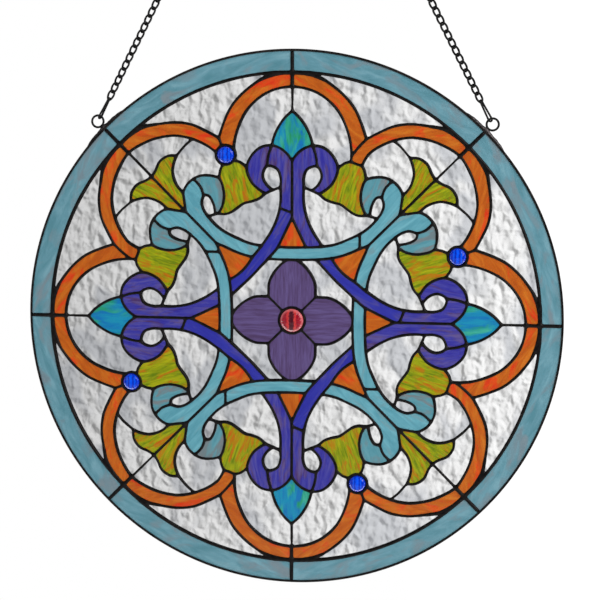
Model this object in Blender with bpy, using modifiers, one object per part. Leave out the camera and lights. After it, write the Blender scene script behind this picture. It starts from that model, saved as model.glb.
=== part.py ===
"""Round stained glass panel, hung by a chain from two rings soldered to its rim.

The panel stands in the XZ plane and faces -Y. Its origin is the chain's middle link, which hangs on a hook,
and the centre jewel lies straight below it. Glass 3 mm thick is held by copper foil seams with solder beads,
inside a thin metal channel. The pattern has four equal quarters, so its leads are drawn once, for one eighth
of the round, and are then mirrored and turned.
"""

import math

import bmesh
import bpy
from mathutils import Vector
from mathutils.geometry import delaunay_2d_cdt

MM = 0.001

# Panel, in millimetres
JEWEL_DROP = 595.0          # from the hanging point down to the centre jewel
RIM_RADIUS = 280.0
RIM_LIP = 2.1
RIM_WALL = 0.8
RIM_SIDES = 32              # each circle of the pattern has corners at the same angles
GLASS_THICKNESS = 3.0
GLASS_RADIUS = 278.9
CLEARANCE = 0.3             # between pieces that touch on the real panel
PANE_INSET = 0.2

# Solder beads, in millimetres
BEAD_WIDTH = 3.4
BEAD_HEIGHT = 1.3
BEAD_EDGE_RADIUS = 277.6    # the beads end here, against the rim's lip
BEAD_EDGE_WIDTH = 1.8
LARGEST_SHARE = 0.42        # of the way to the next lead that half a bead may take

# Circles of the pattern, in millimetres
BORDER_RADIUS = 256.5
JEWEL_SEAM_RADIUS = 13.6
NUGGET_SEAM_RADIUS = 10.2
NUGGET_CENTRE = (69.4, 171.2)
JEWEL_HEIGHT = 5.0
NUGGET_HEIGHT = 4.0
JEWEL_SIDES = 16
NUGGET_SIDES = 12
SEAM_SAG = 0.6              # how far the sides of a round seam lie inside its circle

# Hanging hardware, in millimetres
RING_RADIUS = 6.1
RING_WIRE = 0.85
HOOK_LENGTH = 27.0
HOOK_WIDTH = 3.9
HOOK_WIRE = 0.75
RING_SIDES = 12
WIRE_SIDES = 5
HOOK_BEND_STEPS = 4
HOOK_TURN = {"left": 0.0, "right": math.radians(35)}
LINK_PITCH = 8.8
LINK_WIDTH = 6.8
LINK_WAIST = 3.2
LINK_FLATTENING = 0.5        # the chain is this much thinner than it is wide
BRACE_HALF_ANGLE = math.pi / RIM_SIDES
BRACE_DEPTH = 4.4
BRACE_THICKNESS = 1.4
RING_DISTANCE = RIM_RADIUS + BRACE_THICKNESS + RING_RADIUS + RING_WIRE + 2 * CLEARANCE

# Drawing of curves
CURVE_STEPS = 6             # places between two points of a curve
ARC_STEP = math.radians(45 / 16)
BEAD_FLATNESS = 2.0         # furthest that a facet may leave its curve, in millimetres
PANE_FLATNESS = 2.6         # panes may be coarser, since the beads cover their edges
SHORT_SHARE = 0.08          # a short lead is drawn finer, to this share of its length
JOIN = 2                    # decimals of a millimetre at which two places are one

COLOURS = {
    "solder": ((0.012, 0.011, 0.011), 0.38, 0.85),
    "rim": ((0.010, 0.009, 0.009), 0.42, 0.85),
    "chain": ((0.006, 0.006, 0.006), 0.40, 0.80),
    "clear": ((0.74, 0.75, 0.76), 0.12, 0.0),
    "border_blue": ((0.13, 0.33, 0.40), 0.20, 0.0),
    "orange": ((0.62, 0.11, 0.01), 0.20, 0.0),
    "teal": ((0.02, 0.26, 0.22), 0.20, 0.0),
    "olive": ((0.30, 0.28, 0.0), 0.20, 0.0),
    "purple": ((0.10, 0.06, 0.16), 0.20, 0.0),
    "ruby": ((0.42, 0.01, 0.03), 0.10, 0.0),
    "cobalt": ((0.0, 0.06, 0.90), 0.08, 0.0),
}

# Junctions of the leads in the eighth right of the top, in millimetres right of and above the jewel
RIM_TOP = (0.0, BEAD_EDGE_RADIUS)
BORDER_TOP = (0.0, BORDER_RADIUS)
CROWN_INNER = (0.0, 241.4)
BUD_TIP = (0.0, 217.0)
SCROLL_FOOT = (0.0, 166.0)
STEM_CUT_INNER = (0.0, 112.0)
STEM_FORK = (0.0, 107.0)
STRAP_TOP = (0.0, 76.2)
STRAP_LOW = (0.0, 63.3)
PETAL_TOUCH = (5.0, 63.3)
PETAL_MEET = (24.7, 24.7)
DIAG_INNER = (43.9, 43.9)
DIAG_OUTER = (51.6, 51.6)
STRAP_FORK = (79.5, 79.5)
STEM_BASE = (111.5, 111.5)
LEAF_NOTCH = (147.5, 147.5)
DIAG_CROWN = (172.0, 172.0)
CROSS_IN_TOP = (14.6, 76.5)
CROSS_OUT_TOP = (31.7, 77.5)
CROSS_IN_LOW = (25.2, 63.9)
CROSS_OUT_LOW = (41.2, 65.7)
STEM_CUT_OUTER = (12.9, 117.0)
STEM_CORNER = (12.1, 138.5)
TAIL_END = (20.3, 135.2)
BELL_TIP = (28.0, 131.8)
SCROLL_TOP = (21.3, 181.4)
EYE_TOP = (26.0, 160.2)
SCROLL_SIDE = (47.4, 158.5)
BELL_TOP = (60.9, 165.4)
BELL_SHOULDER = (72.2, 161.4)
HOOK_MEET = (76.4, 147.5)
BELL_TOE = (77.3, 110.2)
SMALL_EYE_LOW = (80.2, 109.7)
SMALL_EYE_TOP = (92.8, 129.3)
SMALL_CORNER = (88.3, 107.0)
HOOK_TOP = (103.5, 146.0)
LEAF_JOIN = (114.3, 131.0)
LEAF_TIP = (121.2, 169.8)
SHORT_TOP = (104.2, 187.2)
LOBE_MEET = (76.6, 188.5)
LOBE_FOOT = (61.1, 177.0)
ARC_CUT_FOOT = (61.3, 171.0)
DIAG_FOOT = (79.4, 173.8)
NUGGET_TOP = (73.4, 180.6)
STRAP_CUT_TOP = (70.4, 91.2)
STRAP_CUT_LOW = (70.3, 75.8)


def on_circle(radius, across):
    """The place on a circle about the jewel that lies this far right of it."""
    return (across, math.sqrt(radius * radius - across * across))


CROWN_SPLIT = on_circle(BORDER_RADIUS, 22.0)
DIAG_SPLIT = on_circle(BORDER_RADIUS, 163.0)
BORDER_DIAG = on_circle(BORDER_RADIUS, BORDER_RADIUS / math.sqrt(2))
RIM_DIAG = on_circle(BEAD_EDGE_RADIUS, BEAD_EDGE_RADIUS / math.sqrt(2))
BORDER_MIDDLE = (BORDER_RADIUS + BEAD_EDGE_RADIUS) / 2
BORDER_SEEDS = [on_circle(BORDER_MIDDLE, 100.0), on_circle(BORDER_MIDDLE, 240.0)]
JEWEL_TOP = on_circle(JEWEL_SEAM_RADIUS, 0.0)
JEWEL_DIAG = on_circle(JEWEL_SEAM_RADIUS, JEWEL_SEAM_RADIUS / math.sqrt(2))


def over_top(point):
    """Mirrors a place about the upright axis."""
    return (-point[0], point[1])


def over_diagonal(point):
    """Mirrors a place about the diagonal."""
    return (point[1], point[0])


def quarter_turn(point, turns):
    """Turns a place clockwise about the jewel by this many quarters."""
    x, z = point
    for _ in range(turns % 4):
        x, z = z, -x
    return (x, z)


def smooth(points, before=None, after=None):
    """A smooth curve through the points, as a list of places; before and after bend its ends."""
    first = before or (2 * points[0][0] - points[1][0], 2 * points[0][1] - points[1][1])
    last = after or (2 * points[-1][0] - points[-2][0], 2 * points[-1][1] - points[-2][1])
    knots = [Vector(p) for p in (first, *points, last)]
    places = [tuple(points[0])]
    for p0, p1, p2, p3 in zip(knots, knots[1:], knots[2:], knots[3:]):
        t1 = math.sqrt((p1 - p0).length)
        t2 = t1 + math.sqrt((p2 - p1).length)
        t3 = t2 + math.sqrt((p3 - p2).length)
        for step in range(1, CURVE_STEPS):
            t = t1 + (t2 - t1) * step / CURVE_STEPS
            a1 = p0.lerp(p1, t / t1)
            a2 = p1.lerp(p2, (t - t1) / (t2 - t1))
            a3 = p2.lerp(p3, (t - t2) / (t3 - t2))
            b1 = a1.lerp(a2, t / t2)
            b2 = a2.lerp(a3, (t - t1) / (t3 - t1))
            place = b1.lerp(b2, (t - t1) / (t2 - t1))
            places.append((place.x, place.y))
        places.append((p2.x, p2.y))
    return places


def arc(centre, start, end, clockwise=True):
    """The round stretch about a centre from one place to another."""
    radius = math.dist(centre, start)
    first = math.atan2(start[1] - centre[1], start[0] - centre[0])
    last = math.atan2(end[1] - centre[1], end[0] - centre[0])
    sweep = (last - first) % math.tau
    if clockwise:
        sweep -= math.tau
    count = max(2, round(abs(sweep) / ARC_STEP))
    middle = []
    for step in range(1, count):
        angle = first + sweep * step / count
        middle.append((centre[0] + radius * math.cos(angle), centre[1] + radius * math.sin(angle)))
    return [start, *middle, end]


def shared_leads():
    """The leads that every eighth of the pattern has."""
    return [
        arc((0, 0), RIM_TOP, RIM_DIAG),
        arc((0, 0), BORDER_TOP, CROWN_SPLIT),
        arc((0, 0), CROWN_SPLIT, DIAG_SPLIT),
        arc((0, 0), DIAG_SPLIT, BORDER_DIAG),
        arc((0, 0), JEWEL_TOP, JEWEL_DIAG),
        # upright and diagonal leads
        [RIM_TOP, BORDER_TOP, CROWN_INNER, BUD_TIP],
        [SCROLL_FOOT, STEM_CUT_INNER, STEM_FORK],
        [RIM_DIAG, BORDER_DIAG, DIAG_CROWN, LEAF_NOTCH, STEM_BASE, STRAP_FORK],
        # orange arcs of the upright and the diagonal lobe
        smooth([CROWN_SPLIT, (33.6, 248.5), (51.6, 234.5), (64.1, 219.7), (71.5, 203.6), LOBE_MEET]),
        smooth([CROWN_INNER, (20, 237.9), (35.5, 229.2), (47.8, 216.4), (56, 200), (60, 186), LOBE_FOOT],
               before=(-20, 237.9)),
        smooth([LOBE_MEET, (90.4, 195.8), (105.2, 202), (122, 204.1), (141.8, 202), DIAG_SPLIT]),
        smooth([DIAG_FOOT, (88.6, 180.3), SHORT_TOP, (122, 190.4), (142, 187.6), (159, 180.7), DIAG_CROWN],
               after=(180.7, 159)),
        # bud and the scroll round its foot
        smooth([BUD_TIP, (8, 209.4), (14.7, 199.6), (18.9, 190.2), SCROLL_TOP]),
        smooth([SCROLL_FOOT, (5.3, 173), (12.3, 178.5), SCROLL_TOP, (31.7, 179.8), (39.6, 174), (45, 166.2),
                SCROLL_SIDE, (45.7, 150.2), (41, 141.6), (34.8, 136), BELL_TIP]),
        smooth([SCROLL_TOP, (24.6, 171), EYE_TOP]),
        smooth([STEM_CORNER, (11.9, 148), (15.6, 157.2), EYE_TOP, (30.8, 150.5), (27.3, 141.5), TAIL_END]),
        [STEM_CORNER, TAIL_END, BELL_TIP],
        # bell flower
        smooth([SCROLL_SIDE, (51.4, 161.8), (55.9, 164.4), BELL_TOP]),
        smooth([BELL_SHOULDER, (75, 155.4), HOOK_MEET]),
        smooth([HOOK_MEET, (73.6, 142.3), (71.1, 129.5), (73.3, 117.3), BELL_TOE]),
        smooth([BELL_TIP, (34.5, 126.3), (42, 123.4), (50, 121.4), (57, 116.6), (64, 111.7), (70, 109.8),
                BELL_TOE]),
        [BELL_TOE, SMALL_EYE_LOW, SMALL_CORNER],
        # small hook beside the diagonal, with its eye
        smooth([SMALL_EYE_TOP, (87.5, 128.8), (82.7, 121), SMALL_EYE_LOW]),
        smooth([SMALL_CORNER, (92.4, 113), (94.9, 121), SMALL_EYE_TOP]),
        smooth([SMALL_EYE_TOP, (96, 138), HOOK_TOP]),
        smooth([STEM_BASE, (112.7, 120), LEAF_JOIN]),
        smooth([LEAF_JOIN, (110.6, 139.3), HOOK_TOP, (95, 149.5), (85, 149.5), HOOK_MEET],
               before=(113.2, 121)),
        # leaves and the short lead that ties them to the arc
        smooth([LEAF_JOIN, (121.5, 139.7), (125.4, 152), (124.2, 162), LEAF_TIP]),
        smooth([LEAF_TIP, (130, 169.4), (139, 163.5), (143.5, 154), LEAF_NOTCH]),
        smooth([SHORT_TOP, (112, 180.6), LEAF_TIP]),
        # long straps that cross
        smooth([STEM_CORNER, (11.8, 128), STEM_CUT_OUTER, (16.1, 104.8), (22.3, 91.7), CROSS_OUT_TOP]),
        smooth([CROSS_OUT_LOW, (45.9, 58.4), DIAG_OUTER], before=CROSS_OUT_TOP, after=(58.4, 45.9)),
        smooth([STEM_FORK, (5.1, 96.2), (9.6, 87), CROSS_IN_TOP]),
        smooth([CROSS_IN_LOW, (34, 54.4), DIAG_INNER], before=CROSS_IN_TOP, after=(54.4, 34)),
        smooth([STRAP_TOP, CROSS_IN_TOP], before=over_top(CROSS_IN_TOP), after=CROSS_OUT_TOP),
        smooth([CROSS_OUT_TOP, (45.2, 80), (58.3, 85.3), STRAP_CUT_TOP, (80.4, 98.5), SMALL_CORNER],
               before=CROSS_IN_TOP),
        [STRAP_LOW, PETAL_TOUCH, CROSS_IN_LOW],
        smooth([CROSS_OUT_LOW, (51, 68), (61, 71.6), STRAP_CUT_LOW, STRAP_FORK], before=CROSS_IN_LOW),
        # flower
        smooth([PETAL_TOUCH, (12.5, 57.5), (19.6, 48.7), (24, 38.9), PETAL_MEET]),
        [PETAL_MEET, JEWEL_DIAG],
    ]


def clockwise_leads():
    """The leads that only the eighth clockwise of a bud has: the light strap lies over, the arcs meet."""
    return [
        smooth([LOBE_FOOT, ARC_CUT_FOOT, BELL_TOP]),
        smooth([LOBE_MEET, (69, 180.6), ARC_CUT_FOOT]),
        smooth([DIAG_FOOT, (75.4, 168), BELL_SHOULDER]),
        smooth([BELL_TOP, (66.6, 163), BELL_SHOULDER]),
        smooth([CROSS_IN_TOP, CROSS_OUT_TOP], before=STRAP_TOP, after=(45.2, 80)),
        smooth([CROSS_IN_LOW, CROSS_OUT_LOW], before=PETAL_TOUCH, after=(51, 68)),
        [STRAP_CUT_TOP, STRAP_CUT_LOW],
    ]


def counter_leads():
    """The leads that only the eighth counter-clockwise of a bud has: a nugget, and the dark strap over."""
    ring = (LOBE_FOOT, NUGGET_TOP, DIAG_FOOT, BELL_SHOULDER, BELL_TOP, LOBE_FOOT)
    stretches = [arc(NUGGET_CENTRE, a, b) for a, b in zip(ring, ring[1:])]
    return stretches + [
        [LOBE_MEET, NUGGET_TOP],
        smooth([CROSS_OUT_TOP, CROSS_OUT_LOW], before=(22.3, 91.7), after=(45.9, 58.4)),
        smooth([CROSS_IN_TOP, CROSS_IN_LOW], before=(9.6, 87), after=(34, 54.4)),
        [STEM_CUT_INNER, STEM_CUT_OUTER],
    ]


def key(point):
    """A place as a name that equal places share."""
    return (round(point[0], JOIN) + 0.0, round(point[1], JOIN) + 0.0)


def faceted(places, fixed, flatness):
    """The fewest of a curve's places that keep it this flat, and all the junctions on it."""
    length = sum(math.dist(a, b) for a, b in zip(places, places[1:]))
    flatness = min(flatness, SHORT_SHARE * length)
    kept = [0] + [i for i in range(1, len(places) - 1) if key(places[i]) in fixed] + [len(places) - 1]

    def between(low, high):
        start, end = Vector(places[low]), Vector(places[high])
        along = (end - start).normalized()
        far, gap = None, flatness
        for i in range(low + 1, high):
            away = Vector(places[i]) - start
            off = abs(along.cross(away))
            if off > gap:
                far, gap = i, off
        if far is None:
            return []
        return between(low, far) + [far] + between(far, high)

    chosen = [0]
    for low, high in zip(kept, kept[1:]):
        chosen += between(low, high) + [high]
    return [places[i] for i in chosen]


def junctions(leads):
    """Every place where a lead ends or that two leads share."""
    ends = {key(lead[end]) for lead in leads for end in (0, -1)}
    seen, shared = set(), set()
    for lead in leads:
        for name in {key(p) for p in lead}:
            (shared if name in seen else seen).add(name)
    return ends | shared


def whole_pattern(flatness):
    """The leads of the whole round as a network: places, and for each place its neighbours."""
    shared = shared_leads()
    eighths = []
    for own, mirrored in ((clockwise_leads(), False), (counter_leads(), True)):
        leads = shared + own
        fixed = junctions(shared + clockwise_leads() + counter_leads())
        for lead in leads:
            line = faceted(lead, fixed, flatness)
            eighths.append([over_diagonal(p) for p in line] if mirrored else line)
    network = {}
    for turns in range(4):
        for line in eighths:
            names = [key(quarter_turn(p, turns)) for p in line]
            for a, b in zip(names, names[1:]):
                if a != b:
                    network.setdefault(a, set()).add(b)
                    network.setdefault(b, set()).add(a)
    return network


def panes_of(network):
    """The panes that the leads enclose, each as its corners in counter-clockwise order."""
    turn = {}
    for place, near in network.items():
        order = sorted(near, key=lambda p: math.atan2(p[1] - place[1], p[0] - place[0]))
        for i, p in enumerate(order):
            turn[(p, place)] = (place, order[i - 1])
    todo = dict.fromkeys(turn)
    panes = []
    while todo:
        edge = next(iter(todo))
        loop = []
        while edge in todo:
            del todo[edge]
            loop.append(edge[0])
            edge = turn[edge]
        if area(loop) > 0:
            panes.append(loop)
    return panes


def area(loop):
    """The signed area of a closed outline, positive when it runs counter-clockwise."""
    return 0.5 * sum(a[0] * b[1] - b[0] * a[1] for a, b in zip(loop, loop[1:] + loop[:1]))


def inside(point, loop):
    """Whether a place lies inside a closed outline."""
    x, z = point
    odd = False
    for (x1, z1), (x2, z2) in zip(loop, loop[1:] + loop[:1]):
        if (z1 > z) != (z2 > z) and x < x1 + (z - z1) * (x2 - x1) / (z2 - z1):
            odd = not odd
    return odd


def clearance(start, way, loop, skip):
    """How far a ray runs from a corner before it meets the outline."""
    nearest = math.inf
    for i, (a, b) in enumerate(zip(loop, loop[1:] + loop[:1])):
        if i in skip:
            continue
        side = Vector(b) - Vector(a)
        across = way.cross(side)
        if abs(across) < 1e-9:
            continue
        offset = Vector(a) - start
        along = offset.cross(side) / across
        place = offset.cross(way) / across
        if along > 1e-6 and -1e-6 <= place <= 1 + 1e-6:
            nearest = min(nearest, along)
    return nearest


def narrowed(loop, width_at):
    """A closed outline moved inwards; width_at gives how far for the side from one corner to the next."""
    count = len(loop)
    result = []
    for i, corner in enumerate(loop):
        here = Vector(corner)
        back, on = here - Vector(loop[i - 1]), Vector(loop[(i + 1) % count]) - here
        n0, n1 = Vector((-back.y, back.x)).normalized(), Vector((-on.y, on.x)).normalized()
        d0, d1 = width_at(loop[i - 1], corner), width_at(corner, loop[(i + 1) % count])
        across = n0.cross(n1)
        if abs(across) < 0.02:
            move = n0 * (d0 + d1) / 2
        else:
            move = Vector(((d0 * n1.y - d1 * n0.y) / across, (d1 * n0.x - d0 * n1.x) / across))
        if move.length > 1e-9:
            way = move.normalized()
            room = LARGEST_SHARE * clearance(here, way, loop, (i, (i - 1) % count))
            limit = min(room, max(d0, d1, LARGEST_SHARE * min(back.length, on.length)))
            move = way * min(move.length, limit)
        result.append((here.x + move.x, here.y + move.y))
    return result


def at_glass_edge(loop):
    """An outline whose places on the beads' outer circle are moved out to the glass's edge."""
    moved = []
    for x, z in loop:
        reach = math.hypot(x, z)
        stretch = GLASS_RADIUS / reach if reach > BEAD_EDGE_RADIUS - 0.1 else 1.0
        moved.append((x * stretch, z * stretch))
    return moved


def outlines_of(panes):
    """The outlines of panes that touch, joined: outer ones counter-clockwise, holes clockwise."""
    following = {}
    for loop in panes:
        for a, b, c in zip(loop, loop[1:] + loop[:1], loop[2:] + loop[:2]):
            following[(a, b)] = (b, c)
    border = {edge for edge in following if (edge[1], edge[0]) not in following}
    loops = []
    while border:
        edge = min(border)
        loop = []
        while edge in border:
            border.discard(edge)
            loop.append(edge[0])
            edge = following[edge]
            while (edge[1], edge[0]) in following:
                edge = following[(edge[1], edge[0])]
        loops.append(loop)
    return loops


def fill(outers, holes):
    """Triangles that fill the outer outlines and leave the holes out: places and corner numbers."""
    places, sides, faces = [], [], []
    for loop in outers + holes:
        start = len(places)
        places += [Vector(p) for p in loop]
        ring = list(range(start, start + len(loop)))
        sides += list(zip(ring, ring[1:] + ring[:1]))
        faces.append(ring if area(loop) > 0 else ring[::-1])
    found = delaunay_2d_cdt(places, sides, faces, 1, 1e-6)
    first_hole = len(outers)
    triangles = [face for face, origin in zip(found[2], found[5]) if origin and max(origin) < first_hole]
    return [(p.x, p.y) for p in found[0]], triangles


def drawn(point, height):
    """A place of the drawing, in metres, this far towards the viewer."""
    return (point[0] * MM, point[1] * MM, height * MM)


def flat_piece(name, outlines, thickness):
    """A flat piece with these outlines, as a filled curve; an outline inside another is a hole."""
    curve = bpy.data.curves.new(name, "CURVE")
    curve.dimensions = "2D"
    curve.fill_mode = "BOTH"
    curve.extrude = thickness / 2 * MM
    for outline in outlines:
        spline = curve.splines.new("POLY")
        spline.points.add(len(outline) - 1)
        for point, place in zip(spline.points, outline):
            point.co = (*drawn(place, 0), 1)
        spline.use_cyclic_u = True
    return curve


def pane_outlines(panes):
    """The outlines of panes fused where they touch, with a gap all round for their neighbours."""
    return [at_glass_edge(narrowed(loop, lambda a, b: PANE_INSET)) for loop in outlines_of(panes)]


def wire(name, path, radius, radii=None, cyclic=False):
    """A wire along places in millimetres, as a curve with a bevel; radii make it thicker and thinner."""
    curve = bpy.data.curves.new(name, "CURVE")
    curve.dimensions = "3D"
    curve.bevel_depth = radius * MM
    curve.bevel_resolution = 0 if radii else 1
    curve.use_fill_caps = not cyclic
    spline = curve.splines.new("POLY")
    spline.points.add(len(path) - 1)
    for i, (point, place) in enumerate(zip(spline.points, path)):
        point.co = (*(place * MM), 1)
        point.radius = radii[i] / radius if radii else 1
    spline.use_cyclic_u = cyclic
    return curve


def turned(piece, profile, sides, closed=False):
    """Fills the piece's mesh with a profile of (radius, height) and turns it about the piece's Z axis."""
    bm = bmesh.new()
    corners = [bm.verts.new((radius * MM, 0, height * MM)) for radius, height in profile]
    for a, b in zip(corners, corners[1:]):
        bm.edges.new((a, b))
    if closed:
        bm.edges.new((corners[-1], corners[0]))
    bm.to_mesh(piece.data)
    bm.free()
    screw = piece.modifiers.new("turn", "SCREW")
    screw.axis = "Z"
    screw.steps = sides
    screw.render_steps = sides
    screw.use_merge_vertices = True
    screw.merge_threshold = 1e-5
    return piece


def bead_network(name, panes):
    """The solder on the front: beads with a ridge along every seam, fused at the joints."""
    floor = GLASS_THICKNESS / 2 + CLEARANCE
    ridge_height = floor + BEAD_HEIGHT
    edge = BEAD_EDGE_RADIUS - 0.1

    def half_width(a, b):
        outer = math.hypot(*a) > edge and math.hypot(*b) > edge
        return (BEAD_EDGE_WIDTH if outer else BEAD_WIDTH) / 2

    bm = bmesh.new()
    ridge, foot = {}, {}

    def corner(store, place, height):
        if place not in store:
            store[place] = bm.verts.new(drawn(place, height))
        return store[place]

    inner = [narrowed(loop, half_width) for loop in panes]
    for loop, hole in zip(panes, inner):
        for i in range(len(loop)):
            bm.faces.new((corner(ridge, loop[i - 1], ridge_height), corner(ridge, loop[i], ridge_height),
                          corner(foot, hole[i], floor), corner(foot, hole[i - 1], floor)))
    outer = [loop for loop in outlines_of(panes) if area(loop) > 0]
    for loop in outer:
        for a, b in zip(loop, loop[1:] + loop[:1]):
            bm.faces.new((corner(ridge, b, ridge_height), corner(ridge, a, ridge_height),
                          corner(foot, a, floor), corner(foot, b, floor)))
    places, triangles = fill(outer, [loop[::-1] for loop in inner])
    exact = {key(Vector(p)): p for p in foot}
    base = [corner(foot, exact[key(p)], floor) for p in places]
    for a, b, c in triangles:
        bm.faces.new((base[c], base[b], base[a]))
    bmesh.ops.recalc_face_normals(bm, faces=bm.faces)
    mesh = bpy.data.meshes.new(name)
    bm.to_mesh(mesh)
    bm.free()
    return mesh


def material(name):
    """The finish of one kind of piece."""
    colour, roughness, metallic = COLOURS[name]
    made = bpy.data.materials.get(name)
    if made is None:
        made = bpy.data.materials.new(name)
        made.use_nodes = True
        shader = made.node_tree.nodes["Principled BSDF"]
        shader.inputs["Base Color"].default_value = (*colour, 1.0)
        shader.inputs["Roughness"].default_value = roughness
        shader.inputs["Metallic"].default_value = metallic
        made.diffuse_color = (*colour, 1.0)
    return made


class Panel:
    """The collection of finished pieces, and the empty at the jewel that the panel's own pieces hang on.

    The empty stands the drawing's plane upright: its X is right, its Y is up and its Z points to the viewer.
    """

    def __init__(self, title):
        self.collection = bpy.data.collections.new(title)
        bpy.context.scene.collection.children.link(self.collection)
        self.plane = bpy.data.objects.new("drawing_plane", None)
        self.plane.location = (0, 0, -JEWEL_DROP * MM)
        self.plane.rotation_euler = (math.radians(90), 0, 0)
        self.collection.objects.link(self.plane)

    def add(self, name, data, finish, in_plane=True):
        """One piece with its finish, in the drawing's plane or in the part's own frame."""
        if not data.materials:
            data.materials.append(material(finish))
        piece = bpy.data.objects.new(name, data)
        self.collection.objects.link(piece)
        if in_plane:
            piece.parent = self.plane
        return piece

    def add_turned(self, name, profile, sides, finish, closed=False):
        """One turned piece, its axis on the jewel's."""
        return turned(self.add(name, bpy.data.meshes.new(name), finish), profile, sides, closed)

    def add_quarters(self, kind, sides, data, finish, ending=""):
        """The same piece in each quarter of the round, clockwise from the top or the upper right."""
        for turns, side in enumerate(sides):
            piece = self.add(f"{kind}_{side}{ending}", data, finish)
            piece.rotation_euler.z = -math.radians(90) * turns


# Where the four pieces of a kind lie, clockwise
SIDES = ("top", "right", "bottom", "left")
CORNERS = ("upper_right", "lower_right", "lower_left", "upper_left")

# Kinds of flat pane: places inside the panes that make up the first piece, where the four lie, and the finish
MOTIFS = {
    "petal": ([(0.0, 40.0)], SIDES, "purple"),
    "bud": ([(0.0, 190.0)], SIDES, "teal"),
    "leaf_pair": ([(133.0, 155.0), (155.0, 133.0)], CORNERS, "olive"),
    "orange_arc_of_bud": ([(30.0, 244.0), (-30.0, 244.0)], SIDES, "orange"),
    "orange_arc_of_leaves": ([(120.0, 198.0), (198.0, 120.0)], CORNERS, "orange"),
    "orange_corner_below_bud": ([(0.0, 85.0)], SIDES, "orange"),
    "orange_corner_below_leaves": ([(62.0, 62.0)], CORNERS, "orange"),
}

# Kinds of flat pane that come twice in each quarter, right and left of the upright
TWIN_MOTIFS = {
    "bell_flower": ((58.0, 145.0), "olive"),
    "outer_clear_pane": ((100.0, 220.0), "clear"),
}


def pane_at(panes, point):
    """The pane that a place lies in."""
    return next(loop for loop in panes if inside(point, loop))


def gem_profile(seam_radius, rise):
    """A cast gem: its edge lies under the beads, and its front rises inside them as a dome."""
    face = GLASS_THICKNESS / 2
    edge = seam_radius - SEAM_SAG - PANE_INSET
    opening = seam_radius - SEAM_SAG - BEAD_WIDTH / 2 - CLEARANCE
    return [(0, face + rise), (0.68 * opening, face + 0.8 * rise), (opening, face + BEAD_HEIGHT),
            (opening, face), (edge, face), (edge, -face), (0, -face)]


def add_gems(panel):
    """The red jewel in the centre and the four blue nuggets round it."""
    profile = gem_profile(JEWEL_SEAM_RADIUS, JEWEL_HEIGHT)
    panel.add_turned("centre_jewel", profile, JEWEL_SIDES, "ruby")
    profile = gem_profile(NUGGET_SEAM_RADIUS, NUGGET_HEIGHT)
    for turns, side in enumerate(CORNERS):
        nugget = panel.add_turned(f"nugget_{side}", profile, NUGGET_SIDES, "cobalt")
        nugget.location = drawn(quarter_turn(over_diagonal(NUGGET_CENTRE), turns), 0)


def add_panes(panel, panes):
    """The flat glass: the motifs, the border and the field with its straps."""
    used = []

    def group(seeds):
        """The panes at these places; they and their turned copies are then used."""
        for seed in seeds:
            used.extend(pane_at(panes, quarter_turn(seed, turns)) for turns in range(4))
        return [pane_at(panes, seed) for seed in seeds]

    for kind, (seeds, sides, finish) in MOTIFS.items():
        data = flat_piece(kind, pane_outlines(group(seeds)), GLASS_THICKNESS)
        panel.add_quarters(kind, sides, data, finish)
    for kind, (seed, finish) in TWIN_MOTIFS.items():
        for ending, place in (("_a", over_top(seed)), ("_b", seed)):
            data = flat_piece(kind + ending, pane_outlines(group([place])), GLASS_THICKNESS)
            panel.add_quarters(kind, SIDES, data, finish, ending)
    group([(0.0, 0.0), over_diagonal(NUGGET_CENTRE)])
    group(BORDER_SEEDS)
    border = used[-4 * len(BORDER_SEEDS):]
    data = flat_piece("blue_border", pane_outlines(border), GLASS_THICKNESS)
    panel.add("blue_border", data, "border_blue")
    field = [loop for loop in panes if loop not in used]
    data = flat_piece("clear_field_and_straps", pane_outlines(field), GLASS_THICKNESS)
    panel.add("clear_field_and_straps", data, "clear")


def add_rim(panel):
    """The thin metal channel that grips the glass's edge all round."""
    slot = GLASS_THICKNESS / 2 + CLEARANCE
    face = slot + RIM_WALL
    lip = RIM_RADIUS - RIM_LIP
    floor = RIM_RADIUS - RIM_WALL
    profile = [(RIM_RADIUS, face), (RIM_RADIUS, -face), (lip, -face), (lip, -slot),
               (floor, -slot), (floor, slot), (lip, slot), (lip, face)]
    panel.add_turned("rim", profile, RIM_SIDES, "rim", closed=True)


def brace_outline(middle):
    """A strip along the rim's outside, as an outline; it follows the two sides of the rim that meet there."""
    outline = []
    inner = RIM_RADIUS + CLEARANCE
    for radius, steps in ((inner, (-1, 0, 1)), (inner + BRACE_THICKNESS, (1, 0, -1))):
        for step in steps:
            angle = middle + BRACE_HALF_ANGLE * step
            reach = radius * math.cos(BRACE_HALF_ANGLE * step)
            outline.append((reach * math.cos(angle), reach * math.sin(angle)))
    return outline


def hook_path(low, up, turn):
    """The wire's middle round a long narrow hook; low is the inside of its lower bend, turn is about up."""
    half = HOOK_WIDTH / 2
    straight = HOOK_LENGTH / 2 - half - HOOK_WIRE
    across = Vector((up.z * math.sin(turn), math.cos(turn), -up.x * math.sin(turn)))
    centre = low + up * (straight + half - HOOK_WIRE)
    path = []
    for end in (1, -1):
        for step in range(HOOK_BEND_STEPS + 1):
            angle = math.pi * step / HOOK_BEND_STEPS
            sideways = end * half * math.cos(angle)
            upwards = end * (straight + half * math.sin(angle))
            path.append(centre + across * sideways + up * upwards)
    return path


def chain_path(ends):
    """The middle of the chain's strand from one hook over the hanging point to the other, and its radii."""
    apex = Vector((0.0, 0.0, -LINK_WAIST / 2))
    links = round((apex - ends[0]).length / LINK_PITCH)
    path, radii = [], []
    for start, end in ((ends[0], apex), (apex, ends[1])):
        for step in range(2 * links):
            path.append(start.lerp(end, step / (2 * links)))
            radii.append((LINK_WIDTH if step % 2 else LINK_WAIST) / 2)
    return path + [ends[1]], radii + [LINK_WAIST / 2]


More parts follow.
